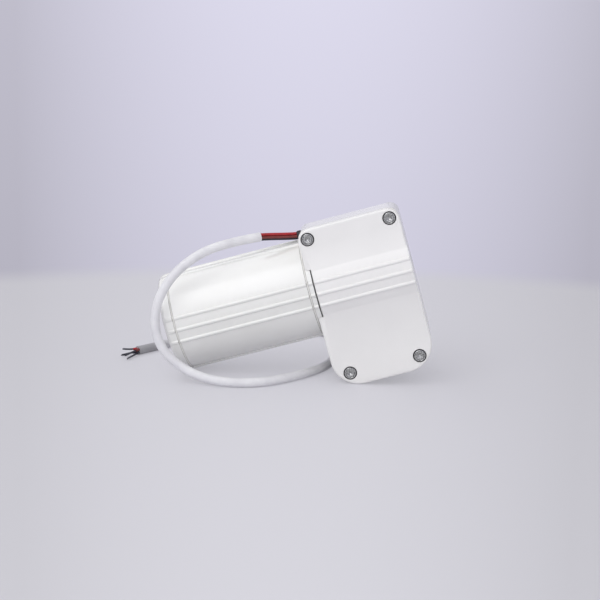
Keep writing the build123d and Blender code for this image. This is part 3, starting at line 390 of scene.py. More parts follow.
floorMesh = bmesh.new()
bmesh.ops.create_circle(floorMesh, cap_ends=True, radius=studio["floor"], segments=128)
bmesh.ops.translate(floorMesh, vec=(0, 0, -studio["drop"]), verts=floorMesh.verts[:])
studioFloor = placed("studioFloor", floorMesh)
paleTable = bpy.data.materials.new("paleTable")
paleTable.use_nodes = True
tree = paleTable.node_tree
tree.nodes.clear()
where = addNode(tree, "ShaderNodeTexCoord").outputs["Object"]
fromTable = addNode(tree, "ShaderNodeVectorMath", {"operation": "DISTANCE"}, i0=where,
                    i1=(*studio["table"], 0)).outputs["Value"]
beyond = addNode(tree, "ShaderNodeMapRange", {"interpolation_type": "SMOOTHSTEP"}, Value=fromTable,
                 From_Min=studio["tableEdge"][0], From_Max=studio["tableEdge"][1]).outputs["Result"]
fromEye = addNode(tree, "ShaderNodeVectorMath", {"operation": "SUBTRACT"}, i0=where,
                  i1=(studio["eye"][0], studio["eye"][1], 0)).outputs["Vector"]
aside, facing = glowAround(tree, fromEye)
ahead = addNode(tree, "ShaderNodeSeparateXYZ", Vector=fromEye).outputs["Y"]
ahead = addNode(tree, "ShaderNodeMath", {"operation": "MAXIMUM"}, i0=ahead,
                i1=studio["leastAhead"]).outputs[0]
dip = addNode(tree, "ShaderNodeMath", {"operation": "DIVIDE"}, i0=studio["eye"][2], i1=ahead).outputs[0]
rise = addNode(tree, "ShaderNodeMapRange", Value=dip, From_Min=studio["farDip"], From_Max=0.0,
               To_Min=0.0, To_Max=studio["glowRise"]).outputs["Result"]
rise = addNode(tree, "ShaderNodeMath", {"operation": "MULTIPLY_ADD"}, i0=rise, i1=facing,
               i2=1.0).outputs[0]
tableColor = addNode(tree, "ShaderNodeMix", {"data_type": "RGBA"}, i0=aside,
                     i6=linearColor(studio["tableMiddle"]),
                     i7=linearColor(studio["tableSide"])).outputs[2]
share = addNode(tree, "ShaderNodeMath", {"operation": "MULTIPLY"}, i0=isSeen(tree),
                i1=studio["ownLight"])
tableSkin = addNode(tree, "ShaderNodeBsdfPrincipled", Base_Color=linearColor(studio["tableSkin"]),
                    Roughness=0.5)
tableGlow = addNode(tree, "ShaderNodeEmission", Color=tableColor, Strength=1.0)
near = addNode(tree, "ShaderNodeMixShader", Fac=share.outputs[0], i1=tableSkin.outputs["BSDF"],
               i2=tableGlow.outputs["Emission"])
farGlow = addNode(tree, "ShaderNodeEmission", Color=backColor(tree, aside), Strength=rise)
blended = addNode(tree, "ShaderNodeMixShader", Fac=beyond, i1=near.outputs["Shader"],
                  i2=farGlow.outputs["Emission"])
addNode(tree, "ShaderNodeOutputMaterial", Surface=blended.outputs["Shader"])
studioFloor.data.materials.append(paleTable)

room = bpy.data.worlds.new("room")
scene.world = room
room.use_nodes = True
tree = room.node_tree
tree.nodes.clear()
soft = addNode(tree, "ShaderNodeBackground", Color=linearColor(studio["roomColor"]),
               Strength=studio["room"])
aside, facing = glowAround(tree, addNode(tree, "ShaderNodeTexCoord").outputs["Generated"])
rise = addNode(tree, "ShaderNodeMath", {"operation": "MULTIPLY_ADD"}, i0=facing, i1=studio["glowRise"],
               i2=1.0).outputs[0]
seen = addNode(tree, "ShaderNodeBackground", Color=backColor(tree, aside), Strength=rise)
picked = addNode(tree, "ShaderNodeMixShader", Fac=isSeen(tree), i1=soft.outputs["Background"],
                 i2=seen.outputs["Background"])
addNode(tree, "ShaderNodeOutputWorld", Surface=picked.outputs["Shader"])

softboxes = {
    # name: where it stands from the middle of the barrel, width, height, brightness
    "overhead": ((-0.430, -0.052, 0.870), 0.22, 2.70, 1.6),
    "frontTop": ((-0.6075, -1.254, 1.1925), 1.35, 2.10, 1.56),
    "side": ((1.100, -0.550, 0.350), 0.50, 0.90, 0.55),
    "fill": ((0.250, -1.600, 0.200), 1.30, 0.60, 0.7),
}
barrelMiddle = standing @ Vector((-50, 0, 0))
for name, (place, width, height, bright) in softboxes.items():
    lamp = bpy.data.lights.new(name, "AREA")
    lamp.shape = "ELLIPSE"
    lamp.size, lamp.size_y = width, height
    lamp.energy = bright * math.pi * math.pi / 4 * width * height
    box = bpy.data.objects.new(name, lamp)
    way = Vector(place).normalized()
    across = Vector(motorJoint["axis"])
    across = (across - way * across.dot(way)).normalized()
    turn = Matrix((across, way.cross(across), way)).transposed().to_4x4()
    box.matrix_world = Matrix.Translation(barrelMiddle + Vector(place)) @ turn
    scene.collection.objects.link(box)
scene.view_settings.view_transform = "Standard"
print("camera, floor and lights set")


# Cable: its route is in metres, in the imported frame, and its sizes are in millimetres
cable = {
    "jacket": 3.25, "core": 1.0, "strand": 0.15,  # radii
    "spacing": 1.15, "coreRun": 2.0, "tailRun": 1.5,  # how far the cores run straight at each end
    "entry": (-1.3, -4.0, 39.0),  # where the cores leave the grommet, in the drive's own frame
    "lift": 0.35,  # how much higher than the grommet's middle the bundle leaves it
    "length": 0.55,  # of the jacket, in metres
    "strands": 9, "cut": 0.42,  # in each core, and how far along its bend the insulation ends
}
jacketPoints = [
    (-0.0255, -0.0295, 0.0994), (-0.0425, -0.0380, 0.0972), (-0.0670, -0.0490, 0.0900),
    (-0.0880, -0.0570, 0.0715), (-0.0975, -0.0605, 0.0465), (-0.0915, -0.0615, 0.0225),
    (-0.0720, -0.0620, 0.0070), (-0.0480, -0.0715, 0.00325), (-0.0210, -0.0690, 0.00325),
    (0.0015, -0.0485, 0.00325), (0.0188, -0.0245, 0.00325), (0.0270, -0.0030, 0.00325),
    (0.0285, 0.0250, 0.00325), (0.0335, 0.0540, 0.00325), (0.0290, 0.0840, 0.00325),
    (0.0050, 0.1040, 0.00325), (-0.0290, 0.1030, 0.00325), (-0.0610, 0.0840, 0.00325),
    (-0.0870, 0.0560, 0.00325), (-0.1060, 0.0290, 0.00325), jacketEnd,
]
tailPoints = {
    "red": [(-0.1250, 0.0106, 0.0045), (-0.1298, 0.0103, 0.0047)],
    "blue": [(-0.1255, 0.0076, 0.0020), (-0.1296, 0.0039, 0.0015)],
    "brown": [(-0.1225, 0.0050, 0.0034), (-0.1262, -0.0010, 0.0024)],
    "black": [(-0.1206, 0.0055, 0.0014), (-0.1236, -0.0050, 0.0012)],
}
# in metres: how far cores and strands start inside what they come out of, the ring that the strands
# leave a cut in, and how unevenly they bend and end
fray = {
    "coreInside": 0.001, "inside": 0.0004, "ring": 0.0005,
    "shorter": (0, 0.0012), "tip": (0.0002, 0.0008), "bend": (0.0004, 0.0007),
}


def drawCurve(name, lines, radius, detail=6):
    # smooth lines through the air as one curve with a round section, ends closed
    curve = bpy.data.curves.new(name, "CURVE")
    curve.dimensions = "3D"
    curve.bevel_depth = radius / 1000
    curve.bevel_resolution = detail
    curve.use_fill_caps = True
    curve.resolution_u = 16
    for points in lines:
        spline = curve.splines.new("NURBS")
        spline.points.add(len(points) - 1)
        for point, place in zip(spline.points, points):
            point.co = (*place, 1)
        spline.order_u = 3
        spline.use_endpoint_u = True
        spline.use_smooth = True
    piece = bpy.data.objects.new(name, curve)
    scene.collection.objects.link(piece)
    return piece


def besideLine(point, heading, across, up):
    side = heading.cross(Vector((0, 0, 1))).normalized()
    return Vector(point) + side * across / 1000 + side.cross(heading) * up / 1000


jacket = drawCurve("jacket", [jacketPoints], cable["jacket"], 8)
settle(jacket, "drive", "jacket_vinyl", ["supply_cable"])
startHeading = (Vector(jacketPoints[1]) - Vector(jacketPoints[0])).normalized()
endHeading = (Vector(jacketPoints[-1]) - Vector(jacketPoints[-2])).normalized()
entry = Vector(cable["entry"])
half = cable["spacing"]
leadPlaces = {"black": (0.45, -1.95), "red": (-0.6, 1.65), "blue": (1.2, -0.1), "brown": (-0.95, -0.4)}
tailPlaces = {
    "black": (-half, -half), "brown": (-half, half), "blue": (half, -half), "red": (half, half),
}
for color, (across, up) in leadPlaces.items():
    out = entry + Vector((0, across, up + cable["lift"]))
    meeting = besideLine(jacketPoints[0], startHeading, across, up)
    points = [standing @ out, standing @ (out - Vector((cable["coreRun"], 0, 0)))]
    points += [meeting - startHeading * cable["coreRun"] / 1000,
               meeting + startHeading * fray["coreInside"]]
    lead = drawCurve(color + "Lead", [points], cable["core"])
    settle(lead, "drive", color + "_vinyl", [color + "_lead"])
random.seed(7)
strandLines = []
for color, (across, up) in tailPlaces.items():
    start = besideLine(jacketPoints[-1], endHeading, across, up)
    bend, tip = (Vector(place) for place in tailPoints[color])
    cut = start.lerp(bend, cable["cut"])
    points = [start - endHeading * fray["coreInside"],
              start + endHeading * cable["tailRun"] / 1000, cut]
    tail = drawCurve(color + "Tail", [points], cable["core"])
    settle(tail, "drive", color + "_vinyl", [color + "_tail"])
    heading = (bend - cut).normalized()
    for number in range(cable["strands"]):
        turn = math.radians(360 * number / cable["strands"])
        side = heading.cross(Vector((0, 0, 1))).normalized()
        spread = side * math.cos(turn) + side.cross(heading) * math.sin(turn)
        near = cut - heading * fray["inside"] + spread * fray["ring"]
        far = tip - heading * random.uniform(*fray["shorter"]) + spread * random.uniform(*fray["tip"])
        strandLines.append([near, bend + spread * random.uniform(*fray["bend"]), far])
strands = drawCurve("tinnedStrands", strandLines, cable["strand"], 2)
strands.data.materials.append(tinnedCopper)
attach(strands, "drive")
jacket.visible_glossy = False  # the barrel's gloss mirrors the lamps and not the cable
print("cable laid out")


# Ribbed barrel, its gaskets and the rear cap
ribs = {
    "skin": 34.5, "height": 1.15, "width": 2.9, "end": 0.7,  # the bar under them, a rib, its end's round
    "spread": 14.2, "groups": 4,  # degrees between the ribs of a group of three
    "fine": 12, "coarse": 2.4, "beside": 0.5,  # steps across a rib, degrees elsewhere, its margin
}


def ribCenters(groups):
    return [90 * group + step * ribs["spread"] for group in range(groups) for step in (-1, 0, 1)]


def ribAngles(groups):
    # directions round the bar, close together where a rib crosses them
    window = math.degrees(ribs["width"] / 2 / ribs["skin"]) + ribs["beside"]
    angles = []
    centers = sorted(center % 360 for center in ribCenters(groups))
    for center, following in zip(centers, centers[1:] + [centers[0] + 360]):
        angles += [center - window + 2 * window * step / ribs["fine"]
                   for step in range(ribs["fine"] + 1)]
        gap = following - center - 2 * window
        count = math.ceil(gap / ribs["coarse"])
        angles += [center + window + gap * step / count for step in range(1, count)]
    return angles


def beadReach(turn, least, middle, radius, centers):
    # how far out a circle with round beads set on it reaches in one direction
    best = least
    for center in centers:
        side, along = middle * math.sin(turn - center), middle * math.cos(turn - center)
        if abs(side) < radius and along > 0:
            best = max(best, along + math.sqrt(radius ** 2 - side ** 2))
    return best


def ribSkin(groups):
    bead = ribs["skin"] + ribs["height"] - ribs["width"] / 2
    centers = [math.radians(center) for center in ribCenters(groups)]

    def reach(turn, radius, place):
        return min(radius, beadReach(turn, ribs["skin"], bead, ribs["width"] / 2, centers))
    return reach


ribTop = ribs["skin"] + ribs["height"]
allRound = ribAngles(ribs["groups"])
allRibs = ribSkin(ribs["groups"])
barrel = {"back": -98.0, "front": -1.7, "bore": 31.7}
barrelMesh = turned([
    (barrel["back"], barrel["bore"], 0), (barrel["back"], ribTop, ribs["end"]),
    (barrel["front"], ribTop, ribs["end"]), (barrel["front"], barrel["bore"], 0),
], allRound, allRibs, closed=True)
finishPiece("ribbedBarrel", barrelMesh, "drive", "white_casting", ["motor_barrel"])

gasket = {"reach": 34.5, "bore": 31.75, "spans": [(-1.48, -0.65), (-99.05, -98.22)], "edge": 0.06}
rings = [turned([
    (start, gasket["bore"], 0), (start, gasket["reach"], gasket["edge"]),
    (end, gasket["reach"], gasket["edge"]), (end, gasket["bore"], 0),
], 160, closed=True) for start, end in gasket["spans"]]
finishPiece("barrelSeals", gathered(rings), "drive", "seal_rubber", ["barrel_gaskets"])

rearCap = {
    "back": -106.9, "front": -99.25, "round": 6.9, "floor": -102.0, "spigotEnd": -95.1,
    "spigot": (31.65, 29.45), "seat": (14.0, 11.03, -101.5, -94.5),
}
bolt = {
    "circle": 26.2, "angles": (20, 200), "slotTurns": (35, 115),  # where they are, and their slots
    "head": 3.5, "seat": -103.6, "top": -106.6, "radius": 2.0, "end": 2.7, "slot": 1.0,
    "hole": 3.75, "mouth": 1.3, "passage": 2.25,  # the well, how much wider it opens, its bore
}
boltPlaces = []
for angle in bolt["angles"]:
    turn = math.radians(angle)
    boltPlaces.append((bolt["circle"] * math.cos(turn), bolt["circle"] * math.sin(turn)))
seatOuter, seatBore, seatFloor, seatEnd = rearCap["seat"]
capMesh = turned([
    (rearCap["back"], 0, 0), (rearCap["back"], ribTop, rearCap["round"]),
    (rearCap["front"], ribTop, ribs["end"]), (rearCap["front"], rearCap["spigot"][0], 0),
    (rearCap["spigotEnd"], rearCap["spigot"][0], 0.3), (rearCap["spigotEnd"], rearCap["spigot"][1], 0.3),
    (rearCap["floor"], rearCap["spigot"][1], 0), (rearCap["floor"], seatOuter, 0),
    (seatEnd, seatOuter, 0.3), (seatEnd, seatBore, 0.3), (seatFloor, seatBore, 0), (seatFloor, 0, 0),
], allRound, allRibs)
wells = [turned([
    (rearCap["back"] - 1, 0, 0), (rearCap["back"] - 1, bolt["hole"] + bolt["mouth"], 0),
    (rearCap["back"] + 0.3, bolt["hole"], 0), (bolt["seat"], bolt["hole"], 0),
    (bolt["seat"], bolt["passage"], 0), (rearCap["floor"] + 1, bolt["passage"], 0),
    (rearCap["floor"] + 1, 0, 0),
], 48, at=Matrix.Translation((0, y, z))) for y, z in boltPlaces]
capMesh = shaped(capMesh, "DIFFERENCE", gathered(wells))
finishPiece("rearCap", capMesh, "drive", "white_casting", ["rear_end_cap"])

bolts = []
for (y, z), turnedBy in zip(boltPlaces, bolt["slotTurns"]):
    at = Matrix.Translation((0, y, z)) @ Matrix.Rotation(math.radians(turnedBy), 4, "X")
    screw = turned([
        (bolt["top"], 0, 0), (bolt["top"], bolt["head"], 0.8), (bolt["seat"], bolt["head"], 0.1),
        (bolt["seat"], bolt["radius"], 0), (bolt["end"], bolt["radius"], 0.4), (bolt["end"], 0, 0),
    ], 48, at=at)
    cut = brick((bolt["top"] - 1, bolt["top"] + 1), (-5, 5), (-bolt["slot"] / 2, bolt["slot"] / 2))
    cut.transform(at)
    bolts.append(shaped(screw, "DIFFERENCE", cut))
finishPiece("tieBolts", gathered(bolts), "drive", "zinc_screws", ["tie_bolts"])
print("barrel and rear cap built")


# Gearbox housing
gearbox = {
    "width": 72.5, "top": 45.5, "bottom": 71.0, "topCorner": 9.2, "bottomCorner": 20.0,
    "front": -24.3, "back": 30.0, "backRound": 5.0, "topBackRound": 34.0, "wall": 4.0, "edge": 1.2,
    "web": 5.0, "collar": (-0.43, 2.75), "pad": 32.0, "padBack": 38.0, "pilot": 14.0, "pilotEnd": 42.0,
    "bush": 9.03, "boss": 13.5, "bossFront": 11.2,
    "padHoles": 25.0, "padHole": 2.5, "padMouth": 3.5,  # their circle, bore and mouth
    # radius, start and end along its own axis; one that follows another part is left out
    "bearingBoss": (15.0, 8.4), "endBoss": (9.0, 58.0, 70.5), "post": (3.0, 31.6, 42.5),
    "screwBoss": (6.0, 0.2, -10.3), "screwHole": (2.55, -12.3),  # the boss starts behind the front
    "shaftBores": [(11.03, -2.0, 6.4), (9.05, 6.0, 9.4), (6.03, 57.0, 66.0), (5.05, 65.0, 74.0)],
    "cableBore": (3.3, 1.0), "cableSeat": (3.5, -8.0, 1.5),
    "boltHole": (2.05, -2.0, 4.0), "wireHole": (1.15, -2.0, 6.0),
    "postPlaces": [(17.5, -15.0), (54.5, -15.0)], "wirePlaces": [(-8.0, 22.0), (8.0, 22.0)],
}


def roundCorners(mesh, corners, radius, segments):
    bmesh.ops.bevel(mesh, geom=corners, offset=radius, offset_type="OFFSET", segments=segments,
                    profile=0.5, affect="VERTICES", material=-1)


def deepened(mesh, way):
    # a flat outline drawn out into a block
    grown = bmesh.ops.extrude_face_region(mesh, geom=mesh.faces[:])["geom"]
    moved = [item for item in grown if isinstance(item, bmesh.types.BMVert)]
    bmesh.ops.translate(mesh, vec=way, verts=moved)
    bmesh.ops.recalc_face_normals(mesh, faces=mesh.faces[:])
    return mesh


def outlineBlock(front, back, inset):
    # the gearbox's outline seen from the front, given its depth
    mesh = bmesh.new()
    low, high = inset - gearbox["bottom"], gearbox["top"] - inset
    left, right = inset, gearbox["width"] - inset
    places = ((left, low), (right, low), (right, high), (left, high))
    corners = [mesh.verts.new((x, back, z)) for x, z in places]
    mesh.faces.new(corners)
    for pair, radius in ((corners[:2], gearbox["bottomCorner"]), (corners[2:], gearbox["topCorner"])):
        roundCorners(mesh, pair, radius - inset, 20)
    return deepened(mesh, (0, front - back, 0))


def sideBlock(front, back, inset):
    # the gearbox seen from its side: one large round along the top edge, a small one below
    mesh = bmesh.new()
    low, high = inset - gearbox["bottom"], gearbox["top"] - inset
    places = ((front, low), (back, low), (back, high), (front, high))
    corners = [mesh.verts.new((-5, y, z)) for y, z in places]
    mesh.faces.new(corners)
    rounds = (gearbox["backRound"], gearbox["topBackRound"] - inset)
    for corner, radius in zip(corners[1:3], rounds):
        roundCorners(mesh, [corner], radius, 24)
    return deepened(mesh, (gearbox["width"] + 10, 0, 0))


def gearboxBlock(front, inset):
    back = gearbox["back"] - inset
    return shaped(outlineBlock(front, back + 1, inset), "INTERSECT", sideBlock(front - 1, back, inset))


def roundEdges(mesh, width, keepFront):
    # sharp edges behind a depth get a small round
    mesh.normal_update()
    bmesh.ops.dissolve_limit(mesh, angle_limit=math.radians(0.5), verts=mesh.verts[:],
                             edges=mesh.edges[:])
    sharp = []
    for edge in mesh.edges:
        if len(edge.link_faces) == 2 and edge.calc_face_angle() > math.radians(28):
            if all(vert.co.y > keepFront for vert in edge.verts):
                sharp.append(edge)
    bmesh.ops.bevel(mesh, geom=sharp, offset=width, offset_type="OFFSET", segments=3, profile=0.5,
                    affect="EDGES", clamp_overlap=True, material=-1)
    return mesh


screwPlaces = [(7.0, 38.4), (65.5, 38.6), (61.8, -61.1), (11.5, -61.1)]
atScrews = [Matrix.Translation((x, 0, z)) @ alongY for x, z in screwPlaces]
onShaft = Matrix.Translation((outputX, 0, outputZ)) @ alongY
housingMesh = roundEdges(gearboxBlock(gearbox["front"], 0.0), gearbox["edge"], gearbox["front"] + 1)
hollow = gearboxBlock(gearbox["front"] - 1, gearbox["wall"])
hollow = shaped(hollow, "DIFFERENCE", brick((-9, gearbox["web"]), (-99, 99), (-99, 99)))
housingMesh = shaped(housingMesh, "DIFFERENCE", hollow)
collarStart, collarEnd = gearbox["collar"]
collar = turned([
    (collarStart, 0, 0), (collarStart, ribTop, ribs["end"]), (collarEnd, ribTop, 0.0),
    (collarEnd, 0, 0),
], allRound, allRibs)
housingMesh = shaped(housingMesh, "UNION", collar)
padStart = gearbox["back"] - gearbox["wall"] + 1
padMesh = turned([
    (padStart, 0, 0), (padStart, gearbox["pad"], 0),
    (gearbox["padBack"], gearbox["pad"], 1.0), (gearbox["padBack"], gearbox["pilot"] + 0.01, 0),
    (gearbox["pilotEnd"], gearbox["pilot"], 0.6), (gearbox["pilotEnd"], 0, 0),
], 128, at=onShaft)
housingMesh = shaped(housingMesh, "UNION", padMesh)
bossRadius, bossEnd = gearbox["bearingBoss"]
inner = [
    rod(gearbox["boss"], gearbox["bossFront"], gearbox["back"] - 2, onShaft),
    rod(bossRadius, collarEnd - 1, bossEnd), rod(*gearbox["endBoss"]),
]
for x, y in gearbox["postPlaces"]:
    inner.append(rod(*gearbox["post"], Matrix.Translation((x, y, 0)) @ alongZ))
bossRadius, bossBehind, bossEnd = gearbox["screwBoss"]
screwBosses = [rod(bossRadius, gearbox["front"] + bossBehind, bossEnd, at) for at in atScrews]
inside = shaped(gathered(screwBosses), "INTERSECT", gearboxBlock(gearbox["front"], 0.3))
housingMesh = shaped(housingMesh, "UNION", gathered(inner))
housingMesh = shaped(housingMesh, "UNION", inside)
entryY, entryZ = cable["entry"][1:]
atEntry = Matrix.Translation((0, entryY, entryZ))
drills = [rod(*bore) for bore in gearbox["shaftBores"]]
drills.append(rod(gearbox["bush"], gearbox["bossFront"] - 1, gearbox["pilotEnd"] + 1, onShaft))
boreRadius, boreStart = gearbox["cableBore"]
drills.append(rod(boreRadius, boreStart, gearbox["web"] + 1, atEntry))
drills.append(rod(*gearbox["cableSeat"], atEntry))
back, padHole, padMouth = gearbox["padBack"], gearbox["padHole"], gearbox["padMouth"]
for number in range(4):
    turn = math.radians(45 + 90 * number)
    holeX = outputX + gearbox["padHoles"] * math.cos(turn)
    holeZ = outputZ + gearbox["padHoles"] * math.sin(turn)
    drills.append(turned([
        (back - 10, 0, 0), (back - 10, padHole, 0), (back - 0.5, padHole, 0),
        (back + 0.5, padMouth, 0), (back + 0.5, 0, 0),
    ], 40, at=Matrix.Translation((holeX, 0, holeZ)) @ alongY))
holeRadius, holeEnd = gearbox["screwHole"]
drills += [rod(holeRadius, gearbox["front"] - 1, holeEnd, at, 32) for at in atScrews]
for y, z in boltPlaces:
    drills.append(rod(*gearbox["boltHole"], Matrix.Translation((0, y, z)), 32))
for y, z in gearbox["wirePlaces"]:
    drills.append(rod(*gearbox["wireHole"], Matrix.Translation((0, y, z)), 24))
# every other drill at a time, so that none meets its neighbour in one cut
for group in (drills[::2], drills[1::2]):
    housingMesh = shaped(housingMesh, "DIFFERENCE", gathered(group))
finishPiece("gearboxHousing", housingMesh, "drive", "white_casting", ["gearbox_housing"])
print("gearbox housing built")


# Front cover, with the motor's ribs carried across it
cover = {
    "face": -30.3, "back": -25.3, "edge": 1.5, "bulge": (3.8, 72.5), "bulgeEnd": 1.5, "hollow": 31.0,
    "notch": 34.9, "pocket": 4.76, "pocketDepth": 2.7, "lip": 0.25, "hole": 2.75,
    "steps": 6, "bulgeWall": 3.5, "bulgeInto": 0.6,  # steps of the edge, and the bulge's own sizes
    "postReach": 17.0, "post": (3.5, -19.0), "postBore": (1.55, -18.0),  # radius and end
}
coverMesh = outlineBlock(cover["face"] + cover["edge"], cover["back"], 0.0)
frontFaces = [face for face in coverMesh.faces if face.normal.y < -0.9]
for step in range(cover["steps"]):
    turns = [math.radians(90 * number / cover["steps"]) for number in (step, step + 1)]
    inward = cover["edge"] * (math.cos(turns[0]) - math.cos(turns[1]))
    onward = cover["edge"] * (math.sin(turns[1]) - math.sin(turns[0]))
    bmesh.ops.inset_region(coverMesh, faces=frontFaces, thickness=inward, depth=0, use_even_offset=True)
    verts = {vert for face in frontFaces for vert in face.verts}
    bmesh.ops.translate(coverMesh, vec=(0, -onward, 0), verts=list(verts))
bulgeStart, bulgeStop = cover["bulge"]
bulge = turned([
    (bulgeStart, 0, 0), (bulgeStart, ribTop, ribs["end"]),
    (bulgeStop, ribTop, cover["bulgeEnd"]), (bulgeStop, 0, 0),
], ribAngles(1), ribSkin(1))
cutting = bmesh.ops.bisect_plane(
    bulge, geom=bulge.verts[:] + bulge.edges[:] + bulge.faces[:], clear_outer=True,
    plane_co=(0, cover["back"] - cover["bulgeInto"], 0), plane_no=(0, 1, 0))
rimEdges = [item for item in cutting["geom_cut"] if isinstance(item, bmesh.types.BMEdge)]
bmesh.ops.contextual_create(bulge, geom=rimEdges)
bmesh.ops.recalc_face_normals(bulge, faces=bulge.faces[:])
coverMesh = shaped(coverMesh, "UNION", bulge)
hollow = rod(cover["hollow"], bulgeStart + cover["bulgeWall"], bulgeStop - cover["bulgeWall"],
             segments=128)
coverMesh = shaped(coverMesh, "DIFFERENCE", hollow)
coverMesh = shaped(coverMesh, "DIFFERENCE", rod(cover["notch"], -1.0, bulgeStart, segments=180))
pockets = [turned([
    (cover["face"] - 1, 0, 0), (cover["face"] - 1, cover["pocket"] + 1 + cover["lip"], 0),
    (cover["face"] + cover["lip"], cover["pocket"], 0),
    (cover["face"] + cover["pocketDepth"], cover["pocket"], 0),
    (cover["face"] + cover["pocketDepth"], cover["hole"], 0), (cover["back"] + 1, cover["hole"], 0),
    (cover["back"] + 1, 0, 0),
], 64, at=at) for at in atScrews]
coverMesh = shaped(coverMesh, "DIFFERENCE", gathered(pockets))
posts, bores = [], []
(postRadius, postEnd), (boreRadius, boreEnd) = cover["post"], cover["postBore"]
for side in (-cover["postReach"], cover["postReach"]):
    at = Matrix.Translation((outputX + side, 0, outputZ)) @ alongY
    posts.append(rod(postRadius, cover["back"] - 1, postEnd, at))
    bores.append(rod(boreRadius, cover["back"] - 0.9, boreEnd, at, 32))
coverMesh = shaped(coverMesh, "UNION", gathered(posts))
coverMesh = shaped(coverMesh, "DIFFERENCE", gathered(bores))
finishPiece("frontCover", coverMesh, "drive", "white_cover", ["front_cover"])

coverScrew = {
    "top": -30.7, "seat": -28.4, "head": 4.08, "round": 0.56, "shank": 2.5, "end": -12.4,
    "turns": (12, 38, 25, 50), "rim": 3.6, "dish": 0.22, "flat": 2.6,  # the face is dished
    "star": 1.45, "lobe": 0.55, "lobeOut": 0.1, "starDepth": 0.35, "starCone": 0.9,
    "starRings": [(0.35, 0.95), (0.15, 1.0), (0, 1.17)],  # depth, and share of the star's width
    "starLimit": 1.2,  # a ring up to this is such a share, and a wider one stays round
    "grooves": (2.75, 3.25), "groove": [(0, -0.1), (0.14, 0), (-0.03, 0.12)],
}


def starSkin(turn, radius, place):
    # six round lobes about a plain hole
    if radius > coverScrew["starLimit"]:
        return radius
    centers = [math.radians(60 * number) for number in range(6)]
    return radius * beadReach(turn, coverScrew["star"], coverScrew["star"] + coverScrew["lobeOut"],
                              coverScrew["lobe"], centers)


screws = []
top, seat = coverScrew["top"], coverScrew["seat"]
dished = top + coverScrew["dish"]
face = [(dished + coverScrew["starDepth"] + coverScrew["starCone"], 0, 0)]
face += [(dished + depth, share, 0) for depth, share in coverScrew["starRings"]]
face += [(dished, coverScrew["flat"], 0)]
for groove in coverScrew["grooves"]:
    face += [(dished + depth, groove + out, 0) for depth, out in coverScrew["groove"]]
for at, turnedBy in zip(atScrews, coverScrew["turns"]):
    screws.append(turned(face + [
        (top, coverScrew["rim"], 0.05), (top, coverScrew["head"], coverScrew["round"]),
        (seat, coverScrew["head"], 0.12), (seat, coverScrew["shank"], 0),
        (coverScrew["end"], coverScrew["shank"], 0.5), (coverScrew["end"], 0, 0),
    ], 96, starSkin, at=at @ Matrix.Rotation(math.radians(turnedBy), 4, "X")))
finishPiece("coverScrews", gathered(screws), "drive", "zinc_screws", ["cover_screws"])
cupSeal = {"reach": 4.72, "bore": 2.75, "lip": 4.12, "floor": -28.4, "back": -27.6, "top": -30.15}
cups = [turned([
    (cupSeal["top"], cupSeal["lip"], 0.1), (cupSeal["top"], cupSeal["reach"], 0.15),
    (cupSeal["back"], cupSeal["reach"], 0), (cupSeal["back"], cupSeal["bore"], 0),
    (cupSeal["floor"], cupSeal["bore"], 0), (cupSeal["floor"], cupSeal["lip"], 0),
], 72, closed=True, at=at) for at in atScrews]
finishPiece("screwSeals", gathered(cups), "drive", "black_rubber", ["cover_screw_seals"])
print("cover and screws built")


# Grommet, thrust screw and output end
grommet = {"lip": 3.4, "face": -1.3, "seat": 1.5, "neck": 3.27, "end": 5.0}
plug = turned([
    (grommet["face"], 0, 0), (grommet["face"], grommet["lip"], 1.1),
    (grommet["seat"], grommet["lip"], 0.2), (grommet["seat"], grommet["neck"], 0),
    (grommet["end"], grommet["neck"], 0.4), (grommet["end"], 0, 0),
], 64, at=atEntry)
for across, up in leadPlaces.values():
    at = Matrix.Translation((0, entryY + across, entryZ + up + cable["lift"]))
    passage = rod(cable["core"] + 0.03, grommet["face"] - 1, grommet["end"] + 1, at, 32)
    plug = shaped(plug, "DIFFERENCE", passage)
grommetPiece = finishPiece("cableGrommet", plug, "drive", "grommet_rubber", ["cable_grommet"])

thrust = {"start": 67.9, "end": 71.9, "radius": 5.0, "slot": 1.2, "depth": 1.6, "turned": 28}
screw = turned([
    (thrust["start"], 0, 0), (thrust["start"], thrust["radius"], 0.2),
    (thrust["end"], thrust["radius"], 0.5), (thrust["end"], 0, 0),
], 64)
slot = brick((thrust["end"] - thrust["depth"], thrust["end"] + 1), (-6, 6),
             (-thrust["slot"] / 2, thrust["slot"] / 2))
slot.transform(Matrix.Rotation(math.radians(thrust["turned"]), 4, "X"))
finishPiece("thrustScrew", shaped(screw, "DIFFERENCE", slot), "drive", "zinc_screws", ["thrust_screw"])

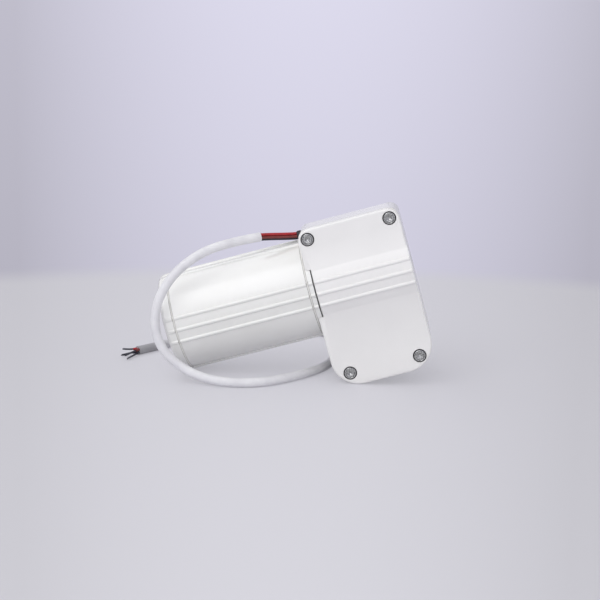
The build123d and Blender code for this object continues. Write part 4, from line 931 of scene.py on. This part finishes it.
shaft = {
    "start": -11.0, "end": 64.5, "radius": 6.0, "tip": 76.5, "grooves": [(-7.25, -6.05), (43.25, 44.45)],
    "groove": 5.4, "thread": 4.0, "pitch": 1.25, "deep": 0.68, "rings": 130,
    "runout": 0.9, "chamfer": 0.9, "undercut": (0.5, 0.8),  # the thread's start and tip, and its neck
    "flank": 1.25, "crest": 0.12,  # how steep its sides are, and how flat its top
}


def threadSkin(turn, radius, place):
    # a sixty-degree thread between the shoulder and the chamfered tip
    if radius != shaft["thread"] or place < shaft["end"] + shaft["runout"]:
        return radius
    wave = abs(((place / shaft["pitch"] - turn / (2 * math.pi)) % 1) * 2 - 1)
    depth = shaft["deep"] * min(1, max(0, wave * shaft["flank"] - shaft["crest"]))
    room = shaft["tip"] - place
    return min(radius - depth, shaft["thread"] - shaft["chamfer"] + room)


corners = [(shaft["start"], 0, 0), (shaft["start"], shaft["radius"], 0.8)]
for start, end in shaft["grooves"]:
    corners += [(start, shaft["radius"], 0.05), (start, shaft["groove"], 0), (end, shaft["groove"], 0),
                (end, shaft["radius"], 0.05)]
under, underLength = shaft["undercut"]
corners += [(shaft["end"], shaft["radius"], 0.6), (shaft["end"], shaft["thread"] - under, 0),
            (shaft["end"] + underLength, shaft["thread"] - under, 0)]
length = shaft["tip"] - shaft["end"] - shaft["runout"]
corners += [(shaft["end"] + shaft["runout"] + length * step / shaft["rings"], shaft["thread"], 0)
            for step in range(shaft["rings"] + 1)]
corners += [(shaft["tip"], 0, 0)]
shaftMesh = turned(corners, 48, threadSkin, at=onShaft, steps=2)
finishPiece("outputShaft", shaftMesh, "output", "ground_steel", ["output_shaft"], sharp=40)

washer = {"start": 42.2, "end": 43.2, "reach": 9.2, "bore": 6.05}
finishPiece("outerWasher", turned([
    (washer["start"], washer["bore"], 0.1), (washer["start"], washer["reach"], 0.3),
    (washer["end"], washer["reach"], 0.3), (washer["end"], washer["bore"], 0.1),
], 96, closed=True, at=onShaft), "output", "ground_steel", ["outer_washer"])
print("shaft, grommet and thrust screw built")


# Everything else keeps its CAD shape and takes its finish
for part in record["subparts"]:
    node = nodes[part["node"]]
    node.data.materials.clear()
    node.data.materials.append(finishes[part["material_slot"]])
